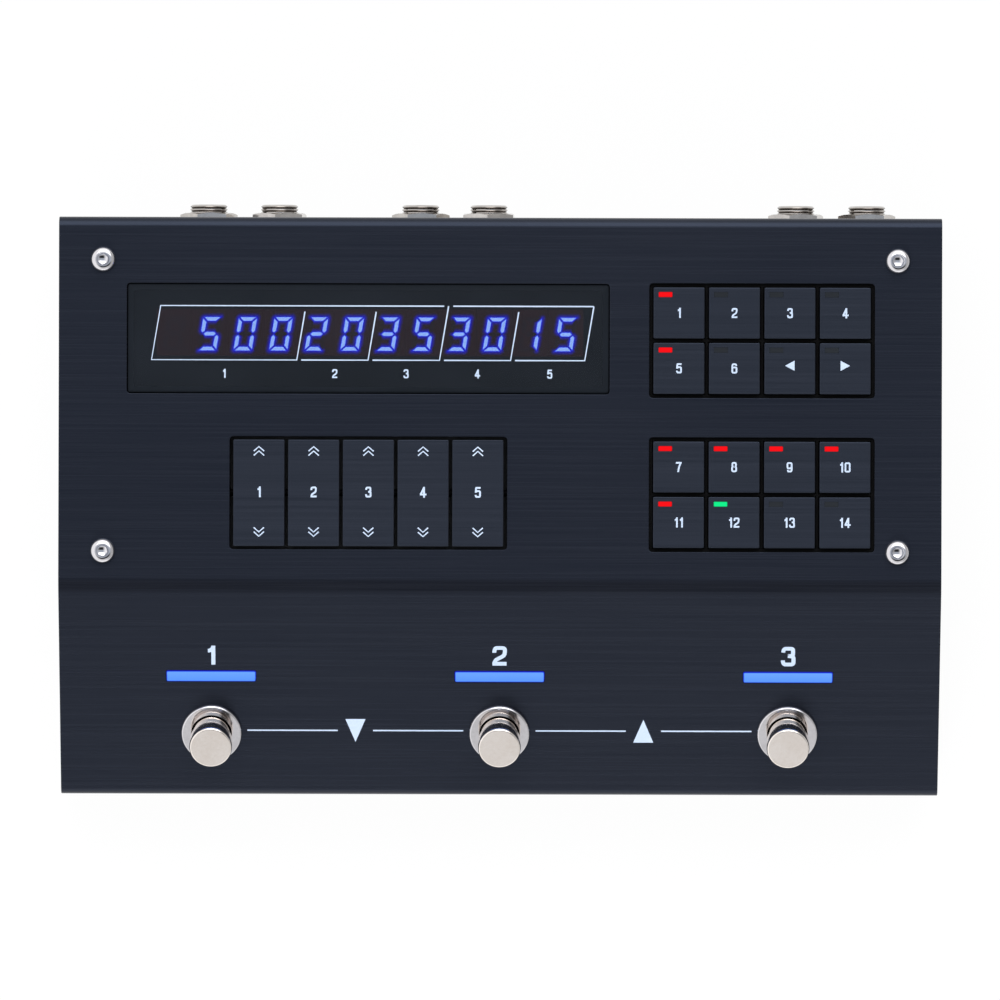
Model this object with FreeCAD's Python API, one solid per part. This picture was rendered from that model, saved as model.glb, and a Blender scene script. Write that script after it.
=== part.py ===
"""Digital delay pedal: a folded sheet metal floor unit with a flat rear deck that carries a smoked
display, two blocks of square keys and a row of rocker keys, a front slope with three footswitches
and three light bars, and six jack sockets with smaller sockets in the rear wall.

Millimetres, +Z up, +Y towards the rear wall, +X to the right of someone who stands at the front.
The origin is on the floor, below the middle of the pedal measured from its front wall to the tips of
the jack bushings."""

import FreeCAD
import Part
import math
import os

Vector = FreeCAD.Vector

# Enclosure
body_width = 245.4
deck_depth = 102.7
slope_run = 58.3
body_height = 53.0
slope_angle = 22.5
sheet = 1.5
plate_thickness = 1.2
edge_bend_radius = 2.8
deck_bend_radius = 12.5
floor_flange = 12.0
side_flange = 15.5
seam = 0.05
plate_inset = 0.4
side_floor_gap = 1.0
side_skirt = 4.5
cut_past = 1.0
edge_reach = 0.01

# Feet and fasteners
foot_height = 5.0
foot_radius = 9.0
foot_inset = 20.0
foot_edge = 1.5
foot_screw_radius = 1.5
foot_screw_length = 6.5
small_head_radius = 2.8
small_head_height = 1.8
cross_slot_width = 0.6
thread_play = 0.05
pass_play = 0.2
bottom_screw_length = 5.0
side_screw_spacing = 64.0
deck_screw_radius = 2.0
deck_screw_length = 7.0
deck_head_radius = 3.5
deck_head_height = 2.2
deck_head_flat = 1.75
deck_head_shoulder = 0.4
deck_socket_width = 2.5
deck_socket_depth = 1.5
deck_screw_from_side = 12.3
deck_screw_from_rear = 11.9
deck_screw_from_bend = 9.8
clinch_nut_radius = 3.4
clinch_nut_height = 3.0

# Display
display_from_side = 18.95
display_from_rear = 18.4
display_width = 134.1
display_height = 30.7
opening_corner = 0.8
window_play = 0.3
window_recess = 0.2
window_bevel = 1.5
window_bevel_drop = 0.7
window_flange = 2.0
window_flange_thickness = 1.5
digit_count = 12
digit_pitch = 9.9
digit_width = 9.8
digit_length = 13.0
digit_gap = 0.6
digit_start = 13.0
digit_from_top = 13.6

# Square keys
key_size = 14.2
key_gap = 1.2
key_margin = 1.1
key_columns = 4
key_rows = 2
keys_from_side = 18.7
keys_from_rear = 18.2
lower_row_from_rear = 61.0
key_proud = 0.8
key_travel = 0.6
key_play = 0.25
key_rim = 0.42
key_rim_thickness = 1.2
key_rim_play = 0.05
key_wall = 1.3
key_corner = 0.35
key_post_radius = 1.6
key_frame_thickness = 2.5
key_frame_margin = 2.0
frame_post_radius = 2.5
frame_post_from_side = 9.0
light_length = 3.8
light_width = 1.4
light_from_left = 1.45
light_from_top = 1.3
light_gap = 0.3

# Rocker keys
rocker_count = 5
rocker_width = 14.25
rocker_gap = 0.95
rocker_length = 29.6
rocker_margin = 1.0
rocker_end_margin = 0.85
rockers_from_side = 47.6
rocker_tilt = 2.4
rocker_height = 5.6
rocker_hub_radius = 2.4
rocker_axle_radius = 1.0
rocker_axle_play = 0.05
rocker_axle_depth = 4.5
rocker_post_offset = 11.0
rocker_lug_width = 2.5
rocker_lug_length = 7.0
rocker_lug_wall = 1.5

# Boards
board_thickness = 1.6
panel_board_depth = 12.0
panel_board_from_side = 16.0
panel_board_from_rear = 9.0
panel_board_from_bend = 3.6
main_board_height = 17.0
main_board_from_side = 8.0
main_board_from_rear = 2.4
main_board_front = 10.0
post_width = 4.5
board_screw_radius = 1.0
board_screw_length = 5.0
board_head_radius = 1.9
board_head_height = 1.3
panel_post_from_edge = 2.75
left_post_from_display = 9.0
right_post_from_side = 48.0
main_post_from_flange = 9.0
switch_width = 6.2
switch_height = 3.5
switch_hole_play = 0.35
post_engagement = 0.6
rest_gap = 0.5
led_length = 2.6
led_width = 1.2
led_height = 0.8
connector_length = 24.0
connector_width = 5.0
connector_height = 6.0
ribbon_width = 22.0
ribbon_thickness = 0.6
ribbon_from_board_edge = 12.0
chips_from_bend = 26.0
processor_size = 22.0
converter_size = 14.0
converter_offset = 60.0
memory_width = 8.0
memory_length = 12.0
memory_offset = 32.0
chip_height = 1.5
capacitor_radius = 4.0
capacitor_height = 9.0
capacitor_pitch = 12.0
capacitor_count = 6
capacitors_behind_chips = 17.0

# Footswitches and light bars
switch_pitch = 80.4
switch_count = 3
switch_from_bend = 44.15
bar_from_bend = 27.15
stem_radius = 5.32
stem_play = 0.3
cap_overhang = 0.63
cap_bottom = 6.2
cap_top = 11.1
cap_edge_in = 0.55
cap_edge_down = 1.0
cap_bottom_edge = 0.2
ring_thickness = 1.6
ring_radius = 8.55
ring_edge_in = 0.6
ring_edge_down = 1.2
ring_roof = 0.6
bushing_wall = 0.75
footswitch_travel = 2.5
lock_nut_width = 17.0
lock_nut_thickness = 2.0
footswitch_body_width = 19.0
footswitch_body_depth = 17.0
footswitch_wall = 2.0
footswitch_corner = 1.0
stop_flange = 1.2
stop_flange_thickness = 1.5
stop_gap = 0.05
spigot_radius = 3.0
spigot_length = 4.5
contact_radius = 3.0
terminal_width = 2.0
terminal_thickness = 0.8
terminal_length = 3.0
spring_wire = 0.8
spring_radius = 4.6
spring_turns = 6
bar_length = 24.8
bar_width = 3.05
bar_proud = 0.2
bar_corner = 0.4
bar_play = 0.1
bar_flange = 2.0
bar_flange_thickness = 1.4
bar_leg_length = 3.0
bar_leg_height = 3.0
bar_board_thickness = 1.2

# Sockets in the rear wall
jack_height = 25.0
jack_reach = 4.0
jack_bushing_radius = 5.25
jack_bore_radius = 3.25
jack_bore_depth = 30.0
jack_body_width = 17.0
jack_body_height = 16.0
jack_end_wall = 2.5
jack_corner = 0.8
jack_tip_edge = 0.5
jack_washer_radius = 7.2
jack_washer_thickness = 0.4
jack_nut_width = 14.0
jack_nut_thickness = 1.6
jack_nut_edge = 0.5
jack_nut_face = 6.9
jack_nut_turns = (8.0, 22.0, 3.0, 27.0, 16.0, 5.0)
left_jacks_from_side = (40.9, 60.7)
middle_jacks = (-22.4, -3.3)
right_jacks_from_side = (40.0, 20.1)
mini_places = (16.0, 29.0)
mini_nose_radius = 2.9
mini_bore_radius = 1.85
mini_bore_depth = 14.0
mini_body = 8.0
usb_place = 44.0
usb_width = 9.0
usb_height = 3.2
usb_depth = 8.0
usb_wall = 0.35
usb_tongue_width = 6.6
usb_tongue_thickness = 0.7
usb_tongue_recess = 1.0
usb_back_wall = 1.0
power_place = 62.0
power_nose_radius = 4.0
power_bore_radius = 2.85
power_bore_depth = 9.5
power_pin_radius = 1.05
power_pin_recess = 1.0
power_body_width = 9.6
power_body_height = 11.0
power_body_depth = 13.0

# Levels and edges that follow from the sizes above
body_depth = deck_depth + slope_run
half_width = body_width / 2
front_y = -(body_depth + jack_reach) / 2
rear_y = front_y + body_depth
bend_y = rear_y - deck_depth
plate_top = foot_height + plate_thickness
deck_z = foot_height + body_height
deck_under = deck_z - sheet
slope_foot_z = deck_z - slope_run * math.tan(math.radians(slope_angle))
panel_board_top = deck_z - panel_board_depth
main_board_top = foot_height + main_board_height
key_top = deck_z + key_proud
key_pitch = key_size + key_gap
rocker_pitch = rocker_width + rocker_gap
key_block_width = key_columns * key_pitch - key_gap + 2 * key_margin
key_block_height = key_rows * key_pitch - key_gap + 2 * key_margin
rocker_block_width = rocker_count * rocker_pitch - rocker_gap + 2 * rocker_margin
rocker_block_height = rocker_length + 2 * rocker_end_margin
keys_left = half_width - keys_from_side - key_block_width
rockers_left = rockers_from_side - half_width
display_left = display_from_side - half_width
display_top = rear_y - display_from_rear
upper_keys_top = rear_y - keys_from_rear
lower_row_top = rear_y - lower_row_from_rear
key_frame_bottom = deck_under - key_frame_thickness
switch_top = panel_board_top + switch_height
post_bottom = switch_top - post_engagement
switch_stroke = max(key_travel, rocker_post_offset * math.sin(math.radians(rocker_tilt)))
switch_hole_depth = post_engagement + switch_stroke + rest_gap
axle_z = deck_z - rocker_axle_depth
jack_z = foot_height + jack_height
bushing_radius = stem_radius + stem_play + bushing_wall
jack_places = (
    left_jacks_from_side[0] - half_width,
    left_jacks_from_side[1] - half_width,
    middle_jacks[0],
    middle_jacks[1],
    half_width - right_jacks_from_side[0],
    half_width - right_jacks_from_side[1],
)


# Plain solids

def box(x0, x1, y0, y1, z0, z1):
    return Part.makeBox(x1 - x0, y1 - y0, z1 - z0, Vector(x0, y0, z0))


def block(x, y, width, length, z0, z1):
    return box(x - width / 2, x + width / 2, y - length / 2, y + length / 2, z0, z1)


def pillar(x, y, radius, z0, z1):
    return Part.makeCylinder(radius, z1 - z0, Vector(x, y, z0))


def rounded_block(x, y, width, length, z0, z1, corner):
    solid = block(x, y, width, length, z0, z1)
    upright = [edge for edge in solid.Edges if abs(edge.tangentAt(0).z) > 0.9]
    return solid.makeFillet(corner, upright)


def rectangle(x, y, width, length, z, corner):
    """A rounded rectangle as a wire at height z."""
    face = [face for face in rounded_block(x, y, width, length, z, z + cut_past, corner).Faces
            if face.BoundBox.ZMax < z + edge_reach]
    return face[0].OuterWire


def hexagon(width, z0, z1, turn=0.0):
    reach = width / math.sqrt(3)
    corners = []
    for step in range(7):
        angle = math.radians(60 * step + turn)
        corners.append(Vector(reach * math.cos(angle), reach * math.sin(angle), z0))
    return Part.Face(Part.makePolygon(corners)).extrude(Vector(0, 0, z1 - z0))


def turned(edges):
    profile = Part.Face(Part.Wire(edges))
    return profile.revolve(Vector(0, 0, 0), Vector(0, 0, 1), 360)


def straight(first, second):
    return Part.makeLine(Vector(first[0], 0, first[1]), Vector(second[0], 0, second[1]))


def chain(points):
    return [straight(first, second) for first, second in zip(points, points[1:])]


def round_over(outer, low, inner, high):
    """An arc from (outer, low) to (inner, high) through the middle of a quarter of an ellipse."""
    share = math.sqrt(0.5)
    middle = Vector(inner + (outer - inner) * share, 0, low + (high - low) * share)
    return Part.Arc(Vector(outer, 0, low), middle, Vector(inner, 0, high)).toShape()


def moved(shape, x, y, z):
    copy = shape.copy()
    copy.translate(Vector(x, y, z))
    return copy


def group(solids):
    return Part.makeCompound(solids)


# Places on the slope and on the rear wall

def on_slope(shape, x, distance):
    """Local z = 0 is the outer face of the slope, local y runs up it towards the deck."""
    angle = math.radians(slope_angle)
    y = bend_y - distance * math.cos(angle)
    z = deck_z - distance * math.sin(angle)
    place = FreeCAD.Placement(Vector(x, y, z), FreeCAD.Rotation(Vector(1, 0, 0), slope_angle))
    copy = shape.copy()
    copy.Placement = place.multiply(shape.Placement)
    return copy


def on_rear_wall(shape, x, z):
    """Local z = 0 is the outer face of the rear wall and local z points out of it."""
    place = FreeCAD.Placement(Vector(x, rear_y, z), FreeCAD.Rotation(Vector(1, 0, 0), -90))
    copy = shape.copy()
    copy.Placement = place.multiply(shape.Placement)
    return copy


def switch_places():
    middle = (switch_count - 1) / 2
    return [(index - middle) * switch_pitch for index in range(switch_count)]


# Side outline of the enclosure, seen from the right, as (y, z)

def side_outline():
    return [
        (front_y, plate_top),
        (rear_y, plate_top),
        (rear_y, deck_z),
        (bend_y, deck_z),
        (front_y, slope_foot_z),
    ]


def side_radii():
    return [edge_bend_radius, edge_bend_radius, edge_bend_radius, deck_bend_radius, edge_bend_radius]


def unit(start, end):
    length = math.hypot(end[0] - start[0], end[1] - start[1])
    return ((end[0] - start[0]) / length, (end[1] - start[1]) / length)


def inset(points, distance):
    """The same outline moved inwards on every side."""
    result = []
    for index, point in enumerate(points):
        before = unit(points[index - 1], point)
        after = unit(point, points[(index + 1) % len(points)])
        shared = 1 + before[0] * after[0] + before[1] * after[1]
        y = point[0] - distance * (before[1] + after[1]) / shared
        z = point[1] + distance * (before[0] + after[0]) / shared
        result.append((y, z))
    return result


def outline_prism(points, radii, x0, x1):
    """The outline with a tangent arc at each corner, drawn from x0 to x1."""
    edges = []
    stops = []
    for index, point in enumerate(points):
        back = unit(point, points[index - 1])
        ahead = unit(point, points[(index + 1) % len(points)])
        half = math.acos(back[0] * ahead[0] + back[1] * ahead[1]) / 2
        length = radii[index] / math.tan(half)
        inward = unit((0, 0), (back[0] + ahead[0], back[1] + ahead[1]))
        depth = radii[index] / math.sin(half) - radii[index]
        start = Vector(x0, point[0] + back[0] * length, point[1] + back[1] * length)
        crown = Vector(x0, point[0] + inward[0] * depth, point[1] + inward[1] * depth)
        end = Vector(x0, point[0] + ahead[0] * length, point[1] + ahead[1] * length)
        stops.append((start, end))
        edges.append(Part.Arc(start, crown, end).toShape())
    ring = []
    for index, edge in enumerate(edges):
        ring.append(edge)
        following = stops[(index + 1) % len(stops)]
        ring.append(Part.makeLine(stops[index][1], following[0]))
    return Part.Face(Part.Wire(ring)).extrude(Vector(x1 - x0, 0, 0))


# Places of the keys

def key_places(block_top):
    """Centres of one block of square keys, row by row from the rear."""
    places = []
    for row in range(key_rows):
        for column in range(key_columns):
            x = keys_left + key_margin + key_size / 2 + column * key_pitch
            y = block_top - key_margin - key_size / 2 - row * key_pitch
            places.append((x, y))
    return places


def rocker_places():
    y = lower_row_top - rocker_block_height / 2
    first = rockers_left + rocker_margin + rocker_width / 2
    return [(first + index * rocker_pitch, y) for index in range(rocker_count)]


def light_place(x, y):
    """Centre of the light window near the rear left corner of the key at (x, y)."""
    return (
        x - key_size / 2 + light_from_left + light_length / 2,
        y + key_size / 2 - light_from_top - light_width / 2,
    )


# Places of the fasteners

def deck_screw_places():
    x = half_width - deck_screw_from_side
    rows = (rear_y - deck_screw_from_rear, bend_y + deck_screw_from_bend)
    return [(side * x, y) for side in (-1, 1) for y in rows]


def bottom_screw_places():
    """Three along the front, three along the rear and two along each side."""
    across = half_width - foot_inset - foot_radius - small_head_radius
    flange = floor_flange / 2
    ends = [(x, y) for x in (-across, 0, across) for y in (front_y + flange, rear_y - flange)]
    middle = (front_y + rear_y) / 2
    sides = [(side * (half_width - flange), middle + end * side_screw_spacing / 2)
             for side in (-1, 1) for end in (-1, 1)]
    return ends + sides


def foot_places():
    x = half_width - foot_inset
    return [(side * x, y) for side in (-1, 1) for y in (front_y + foot_inset, rear_y - foot_inset)]


def main_post_places():
    """Posts on the floor plate that carry the main board."""
    front = bend_y - main_board_front + post_width
    rear = rear_y - main_board_from_rear - jack_body_length() - post_width
    across = half_width - floor_flange - main_post_from_flange
    return [(x, y) for x in (-across, 0, across) for y in (front, rear)]


def panel_post_places():
    """Posts under the deck that carry the panel board, in the strips between the openings."""
    rear = rear_y - panel_board_from_rear - post_width
    front = bend_y + panel_board_from_bend + panel_post_from_edge
    between = (display_left + display_width + keys_left) / 2
    left = display_left + left_post_from_display
    return [(left, rear), (between, rear), (half_width - right_post_from_side, rear),
            (left, front), (between, front)]


def frame_post_places():
    """Posts of the key frame, between its two blocks of keys."""
    y = (upper_keys_top - key_block_height + lower_row_top) / 2
    return [(x, y) for x in (keys_left + frame_post_from_side,
                             keys_left + key_block_width - frame_post_from_side)]


# Enclosure

def panel_openings():
    """The openings in the deck for the display and the keys."""
    deep = 2 * sheet
    sizes = [
        (display_left, display_top, display_width, display_height),
        (keys_left, upper_keys_top, key_block_width, key_block_height),
        (keys_left, lower_row_top, key_block_width, key_block_height),
        (rockers_left, lower_row_top, rocker_block_width, rocker_block_height),
    ]
    return [
        rounded_block(left + width / 2, top - height / 2, width, height, deck_z - deep, deck_z + deep,
                      opening_corner)
        for left, top, width, height in sizes
    ]


def slope_openings():
    """The bushing holes and the light bar slots."""
    cuts = []
    hole = pillar(0, 0, bushing_radius + thread_play, -3 * sheet, 3 * sheet)
    slot = rounded_block(0, 0, bar_length + 2 * bar_play, bar_width + 2 * bar_play, -3 * sheet, 3 * sheet,
                         bar_corner + bar_play)
    for x in switch_places():
        cuts.append(on_slope(hole, x, switch_from_bend))
        cuts.append(on_slope(slot, x, bar_from_bend))
    return cuts


def rear_openings():
    """The socket holes in the rear wall."""
    cuts = []
    jack_hole = pillar(0, 0, jack_bushing_radius + pass_play, -2 * sheet, 2 * sheet)
    mini_hole = pillar(0, 0, mini_nose_radius + pass_play, -2 * sheet, 2 * sheet)
    power_hole = pillar(0, 0, power_nose_radius + pass_play, -2 * sheet, 2 * sheet)
    usb_hole = rounded_block(0, 0, usb_width + 2 * pass_play, usb_height + 2 * pass_play,
                             -2 * sheet, 2 * sheet, usb_height / 2)
    for x in jack_places:
        cuts.append(on_rear_wall(jack_hole, x, jack_z))
    for x in mini_places:
        cuts.append(on_rear_wall(mini_hole, x, main_board_top + mini_body / 2))
    cuts.append(on_rear_wall(power_hole, power_place, main_board_top + power_body_height / 2))
    cuts.append(on_rear_wall(usb_hole, usb_place, main_board_top + usb_height / 2))
    return cuts


def top_cover():
    """One folded sheet: front flange, front wall, slope, deck, rear wall and rear flange."""
    outer = outline_prism(side_outline(), side_radii(), -half_width, half_width)
    hollow_radii = [radius - sheet for radius in side_radii()]
    hollow = outline_prism(inset(side_outline(), sheet), hollow_radii, -half_width - cut_past,
                           half_width + cut_past)
    floor_gap = box(-half_width - cut_past, half_width + cut_past, front_y + floor_flange,
                    rear_y - floor_flange, plate_top - cut_past, plate_top + 2 * sheet)
    cuts = [hollow, floor_gap] + panel_openings() + slope_openings() + rear_openings()
    for x, y in deck_screw_places():
        cuts.append(pillar(x, y, deck_screw_radius + pass_play, deck_z - 2 * sheet, deck_z + sheet))
    for x, y in bottom_screw_places():
        cuts.append(pillar(x, y, foot_screw_radius + thread_play, plate_top - cut_past,
                           plate_top + 2 * sheet))
    return outer.cut(cuts)


def side_panel(side):
    """A side wall inside the cover, with a flange under the deck and one on the floor plate.
    The deck screws thread into nuts clinched into its upper flange."""
    outer_x = side * half_width
    wall_x = side * (half_width - sheet)
    outline = inset(side_outline(), sheet + seam)
    radii = [radius - sheet - seam for radius in side_radii()]
    wall = outline_prism(outline, radii, min(outer_x, wall_x), max(outer_x, wall_x))
    flange_x = side * (half_width - side_flange)
    flange_top = deck_under - seam
    rear = rear_y - sheet - edge_bend_radius
    front = bend_y + deck_bend_radius * math.tan(math.radians(slope_angle / 2))
    upper = box(min(outer_x, flange_x), max(outer_x, flange_x), front, rear, flange_top - sheet, flange_top)
    inner_x = side * (half_width - floor_flange)
    lower_front = front_y + floor_flange + side_floor_gap
    lower_rear = rear_y - floor_flange - side_floor_gap
    lower = box(min(outer_x, inner_x), max(outer_x, inner_x), lower_front, lower_rear,
                plate_top, plate_top + sheet)
    skirt = box(min(outer_x, wall_x), max(outer_x, wall_x), lower_front, lower_rear,
                plate_top, plate_top + side_skirt)
    solids = [upper, lower, skirt]
    holes = []
    nut_bottom = flange_top - sheet - clinch_nut_height
    for x, y in deck_screw_places():
        if x * side > 0:
            solids.append(pillar(x, y, clinch_nut_radius, nut_bottom, flange_top))
            holes.append(pillar(x, y, deck_screw_radius + thread_play, nut_bottom - cut_past, deck_z))
    for x, y in bottom_screw_places():
        if x * side > half_width - floor_flange:
            holes.append(pillar(x, y, foot_screw_radius + thread_play, plate_top - cut_past,
                                plate_top + 2 * sheet))
    return wall.fuse(solids).cut(holes).removeSplitter()


def bottom_plate():
    """The floor plate, screwed to the flanges from below."""
    plate = rounded_block(0, (front_y + rear_y) / 2, body_width - 2 * plate_inset,
                          body_depth - 2 * plate_inset, foot_height, plate_top, edge_bend_radius)
    sizes = [(bottom_screw_places(), foot_screw_radius + pass_play),
             (foot_places(), foot_screw_radius + thread_play)]
    holes = [pillar(x, y, radius, foot_height - cut_past, plate_top + cut_past)
             for places, radius in sizes for x, y in places]
    return plate.cut(holes)


def foot():
    """A rubber foot with a recess that takes the screw head well above the floor."""
    recess = foot_height / 2
    radius = small_head_radius + pass_play
    outline = chain([
        (foot_screw_radius + pass_play, foot_height),
        (foot_screw_radius + pass_play, recess),
        (radius, recess),
        (radius, 0),
        (foot_radius - foot_edge, 0),
        (foot_radius, foot_edge),
        (foot_radius, foot_height),
        (foot_screw_radius + pass_play, foot_height),
    ])
    return turned(outline)


def pan_screw(radius, length, head_radius=small_head_radius, head_height=small_head_height):
    """A pan head screw: the head's seat is at z = 0 and its shank points up."""
    head = Part.makeCylinder(head_radius, head_height, Vector(0, 0, -head_height))
    low_edge = [edge for edge in head.Edges if edge.BoundBox.ZMax < -head_height / 2]
    head = head.makeChamfer(head_height / 3, low_edge)
    shank = Part.makeCylinder(radius, length)
    cross = [
        block(0, 0, head_radius, cross_slot_width, -head_height, -head_height / 2),
        block(0, 0, cross_slot_width, head_radius, -head_height, -head_height / 2),
    ]
    return head.fuse(shank).cut(cross)


def deck_screw():
    """A button head screw with a hexagon socket: seat at z = 0, shank pointing down."""
    edges = chain([
        (deck_head_flat, deck_head_height),
        (0, deck_head_height),
        (0, -deck_screw_length),
        (deck_screw_radius, -deck_screw_length),
        (deck_screw_radius, 0),
        (deck_head_radius, 0),
        (deck_head_radius, deck_head_shoulder),
    ])
    edges.append(round_over(deck_head_radius, deck_head_shoulder, deck_head_flat, deck_head_height))
    socket = hexagon(deck_socket_width, deck_head_height - deck_socket_depth, deck_head_height + cut_past)
    return turned(edges).cut(socket)


def fasteners():
    """Every screw of the enclosure, and the feet."""
    foot_screw = pan_screw(foot_screw_radius, foot_screw_length)
    floor_screw = pan_screw(foot_screw_radius, bottom_screw_length)
    return {
        "rubber_feet": group([moved(foot(), x, y, 0) for x, y in foot_places()]),
        "foot_screws": group([moved(foot_screw, x, y, foot_height / 2) for x, y in foot_places()]),
        "bottom_screws": group([moved(floor_screw, x, y, foot_height) for x, y in bottom_screw_places()]),
        "deck_screws": group([moved(deck_screw(), x, y, deck_z) for x, y in deck_screw_places()]),
    }


# Display

def display_window():
    """A smoked pane: its bevelled face fills the opening and its flange lies behind the deck."""
    x = display_left + display_width / 2
    y = display_top - display_height / 2
    top = deck_z - window_recess
    width = display_width - 2 * window_play
    length = display_height - 2 * window_play
    corner = opening_corner - window_play
    face = rounded_block(x, y, width, length, deck_under, top - window_bevel_drop, corner)
    wide = rectangle(x, y, width, length, top - window_bevel_drop, corner)
    narrow = rectangle(x, y, width - 2 * window_bevel, length - 2 * window_bevel, top, corner)
    bevel = Part.makeLoft([wide, narrow], True, True)
    flange = block(x, y, display_width + 2 * window_flange, display_height + 2 * window_flange,
                   deck_under - window_flange_thickness, deck_under)
    return flange.fuse([face, bevel]).removeSplitter()


def display_digits():
    """Twelve single digit modules that stand side by side on the panel board."""
    y = display_top - digit_from_top
    top = deck_under - window_flange_thickness - digit_gap
    modules = []
    for index in range(digit_count):
        x = display_left + digit_start + index * digit_pitch
        modules.append(block(x, y, digit_width, digit_length, panel_board_top, top))
    return group(modules)


# Square keys

def square_key():
    """A hollow cap with a rim that the frame holds down, a post for its switch and a light window."""
    bottom = key_frame_bottom - key_rim_play - key_rim_thickness
    cap = rounded_block(0, 0, key_size, key_size, bottom, key_top, key_corner)
    top_edges = [edge for edge in cap.Edges if edge.BoundBox.ZMin > key_top - edge_reach]
    cap = cap.makeFillet(key_corner, top_edges)
    rim = block(0, 0, key_size + 2 * key_rim, key_size + 2 * key_rim, bottom, bottom + key_rim_thickness)
    hollow_size = key_size - 2 * key_wall
    hollow = block(0, 0, hollow_size, hollow_size, bottom - cut_past, key_top - key_wall)
    post = pillar(0, 0, key_post_radius, post_bottom, key_top - key_wall)
    light_x, light_y = light_place(0, 0)
    bottom_of_light = panel_board_top + led_height + key_travel + light_gap
    light = block(light_x, light_y, light_length, light_width, bottom_of_light, key_top)
    shell = cap.fuse(rim).cut(hollow).fuse(post).cut(light)
    return group([shell.removeSplitter(), light])


def key_frame():
    """One moulding behind both blocks of square keys, with a pocket for each key and two posts."""
    width = key_block_width + 2 * key_frame_margin
    top = upper_keys_top + key_frame_margin
    bottom = lower_row_top - key_block_height - key_frame_margin
    plate = block(keys_left + key_block_width / 2, (top + bottom) / 2, width, top - bottom,
                  key_frame_bottom, deck_under)
    pocket = key_size + 2 * key_play
    pockets = []
    for x, y in key_places(upper_keys_top) + key_places(lower_row_top):
        pockets.append(block(x, y, pocket, pocket, key_frame_bottom - cut_past, deck_under + cut_past))
    posts = []
    for x, y in frame_post_places():
        post = pillar(x, y, frame_post_radius, panel_board_top, key_frame_bottom)
        hole = pillar(x, y, board_screw_radius + thread_play, panel_board_top - cut_past,
                      panel_board_top + board_screw_length)
        posts.append(post.cut(hole))
    return plate.cut(pockets).fuse(posts).removeSplitter()


def square_keys():
    names = ["number_key_1", "number_key_2", "number_key_3", "number_key_4",
             "bank_key_1", "bank_key_2", "left_arrow_key", "right_arrow_key"]
    names += ["function_key_%d" % (index + 1) for index in range(key_rows * key_columns)]
    places = key_places(upper_keys_top) + key_places(lower_row_top)
    return {name: moved(square_key(), x, y, 0) for name, (x, y) in zip(names, places)}


# Rocker keys

def rocker_key():
    """A hollow rocker on the shared axle, with a post over the switch at each end."""
    bottom = key_top - rocker_height
    cap = rounded_block(0, 0, rocker_width, rocker_length, bottom, key_top, key_corner)
    top_edges = [edge for edge in cap.Edges if edge.BoundBox.ZMin > key_top - edge_reach]
    cap = cap.makeFillet(key_corner, top_edges)
    hollow = block(0, 0, rocker_width - 2 * key_wall, rocker_length - 2 * key_wall,
                   bottom - cut_past, key_top - key_wall)
    hub = Part.makeCylinder(rocker_hub_radius, rocker_width, Vector(-rocker_width / 2, 0, axle_z),
                            Vector(1, 0, 0))
    web = block(0, 0, rocker_width - key_wall, 2 * rocker_hub_radius, axle_z, key_top - key_wall / 2)
    posts = [pillar(0, side * rocker_post_offset, key_post_radius, post_bottom, key_top - key_wall)
             for side in (-1, 1)]
    bore = Part.makeCylinder(rocker_axle_radius + rocker_axle_play, rocker_width,
                             Vector(-rocker_width / 2, 0, axle_z), Vector(1, 0, 0))
    return cap.cut(hollow).fuse([hub, web] + posts).cut(bore).removeSplitter()


def rocker_frame():
    """A moulding behind the rocker opening, with a lug at each end that holds the axle."""
    x = rockers_left + rocker_block_width / 2
    y = lower_row_top - rocker_block_height / 2
    outer_width = rocker_block_width + 2 * rocker_lug_width
    outer = block(x, y, outer_width, rocker_block_height + 2 * key_frame_margin, key_frame_bottom,
                  deck_under)
    inner = block(x, y, rocker_block_width, rocker_block_height, key_frame_bottom - cut_past,
                  deck_under + cut_past)
    lug_x = (rocker_block_width + rocker_lug_width) / 2
    lug_bottom = axle_z - rocker_axle_radius - rocker_lug_wall
    lugs = [block(x + side * lug_x, y, rocker_lug_width, rocker_lug_length, lug_bottom, deck_under)
            for side in (-1, 1)]
    bore = Part.makeCylinder(rocker_axle_radius + thread_play / 2, outer_width,
                             Vector(x - outer_width / 2, y, axle_z), Vector(1, 0, 0))
    return outer.cut(inner).fuse(lugs).cut(bore).removeSplitter()


def rocker_axle():
    """A steel rod through all the rockers, flush with the outer faces of the lugs."""
    length = rocker_block_width + 2 * rocker_lug_width
    y = lower_row_top - rocker_block_height / 2
    start = Vector(rockers_left - rocker_lug_width, y, axle_z)
    return Part.makeCylinder(rocker_axle_radius, length, start, Vector(1, 0, 0))


def rocker_keys():
    return {"rocker_key_%d" % (index + 1): moved(rocker_key(), x, y, 0)
            for index, (x, y) in enumerate(rocker_places())}


# Boards

def panel_board():
    """The board behind the deck that carries the digits, key switches and key lights."""
    reach = half_width - panel_board_from_side
    board = box(-reach, reach, bend_y + panel_board_from_bend, rear_y - panel_board_from_rear,
                panel_board_top - board_thickness, panel_board_top)
    holes = [pillar(x, y, board_screw_radius + pass_play, panel_board_top - 2 * board_thickness,
                    panel_board_top + cut_past) for x, y in panel_post_places() + frame_post_places()]
    return board.cut(holes)


def key_switch_places():
    """One switch under each square key and one under each end of a rocker."""
    places = key_places(upper_keys_top) + key_places(lower_row_top)
    for x, y in rocker_places():
        places.append((x, y - rocker_post_offset))
        places.append((x, y + rocker_post_offset))
    return places


def key_switches():
    switch = block(0, 0, switch_width, switch_width, panel_board_top, switch_top)
    hole = pillar(0, 0, key_post_radius + switch_hole_play, switch_top - switch_hole_depth,
                  switch_top + cut_past)
    switch = switch.cut(hole)
    return group([moved(switch, x, y, 0) for x, y in key_switch_places()])


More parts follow.
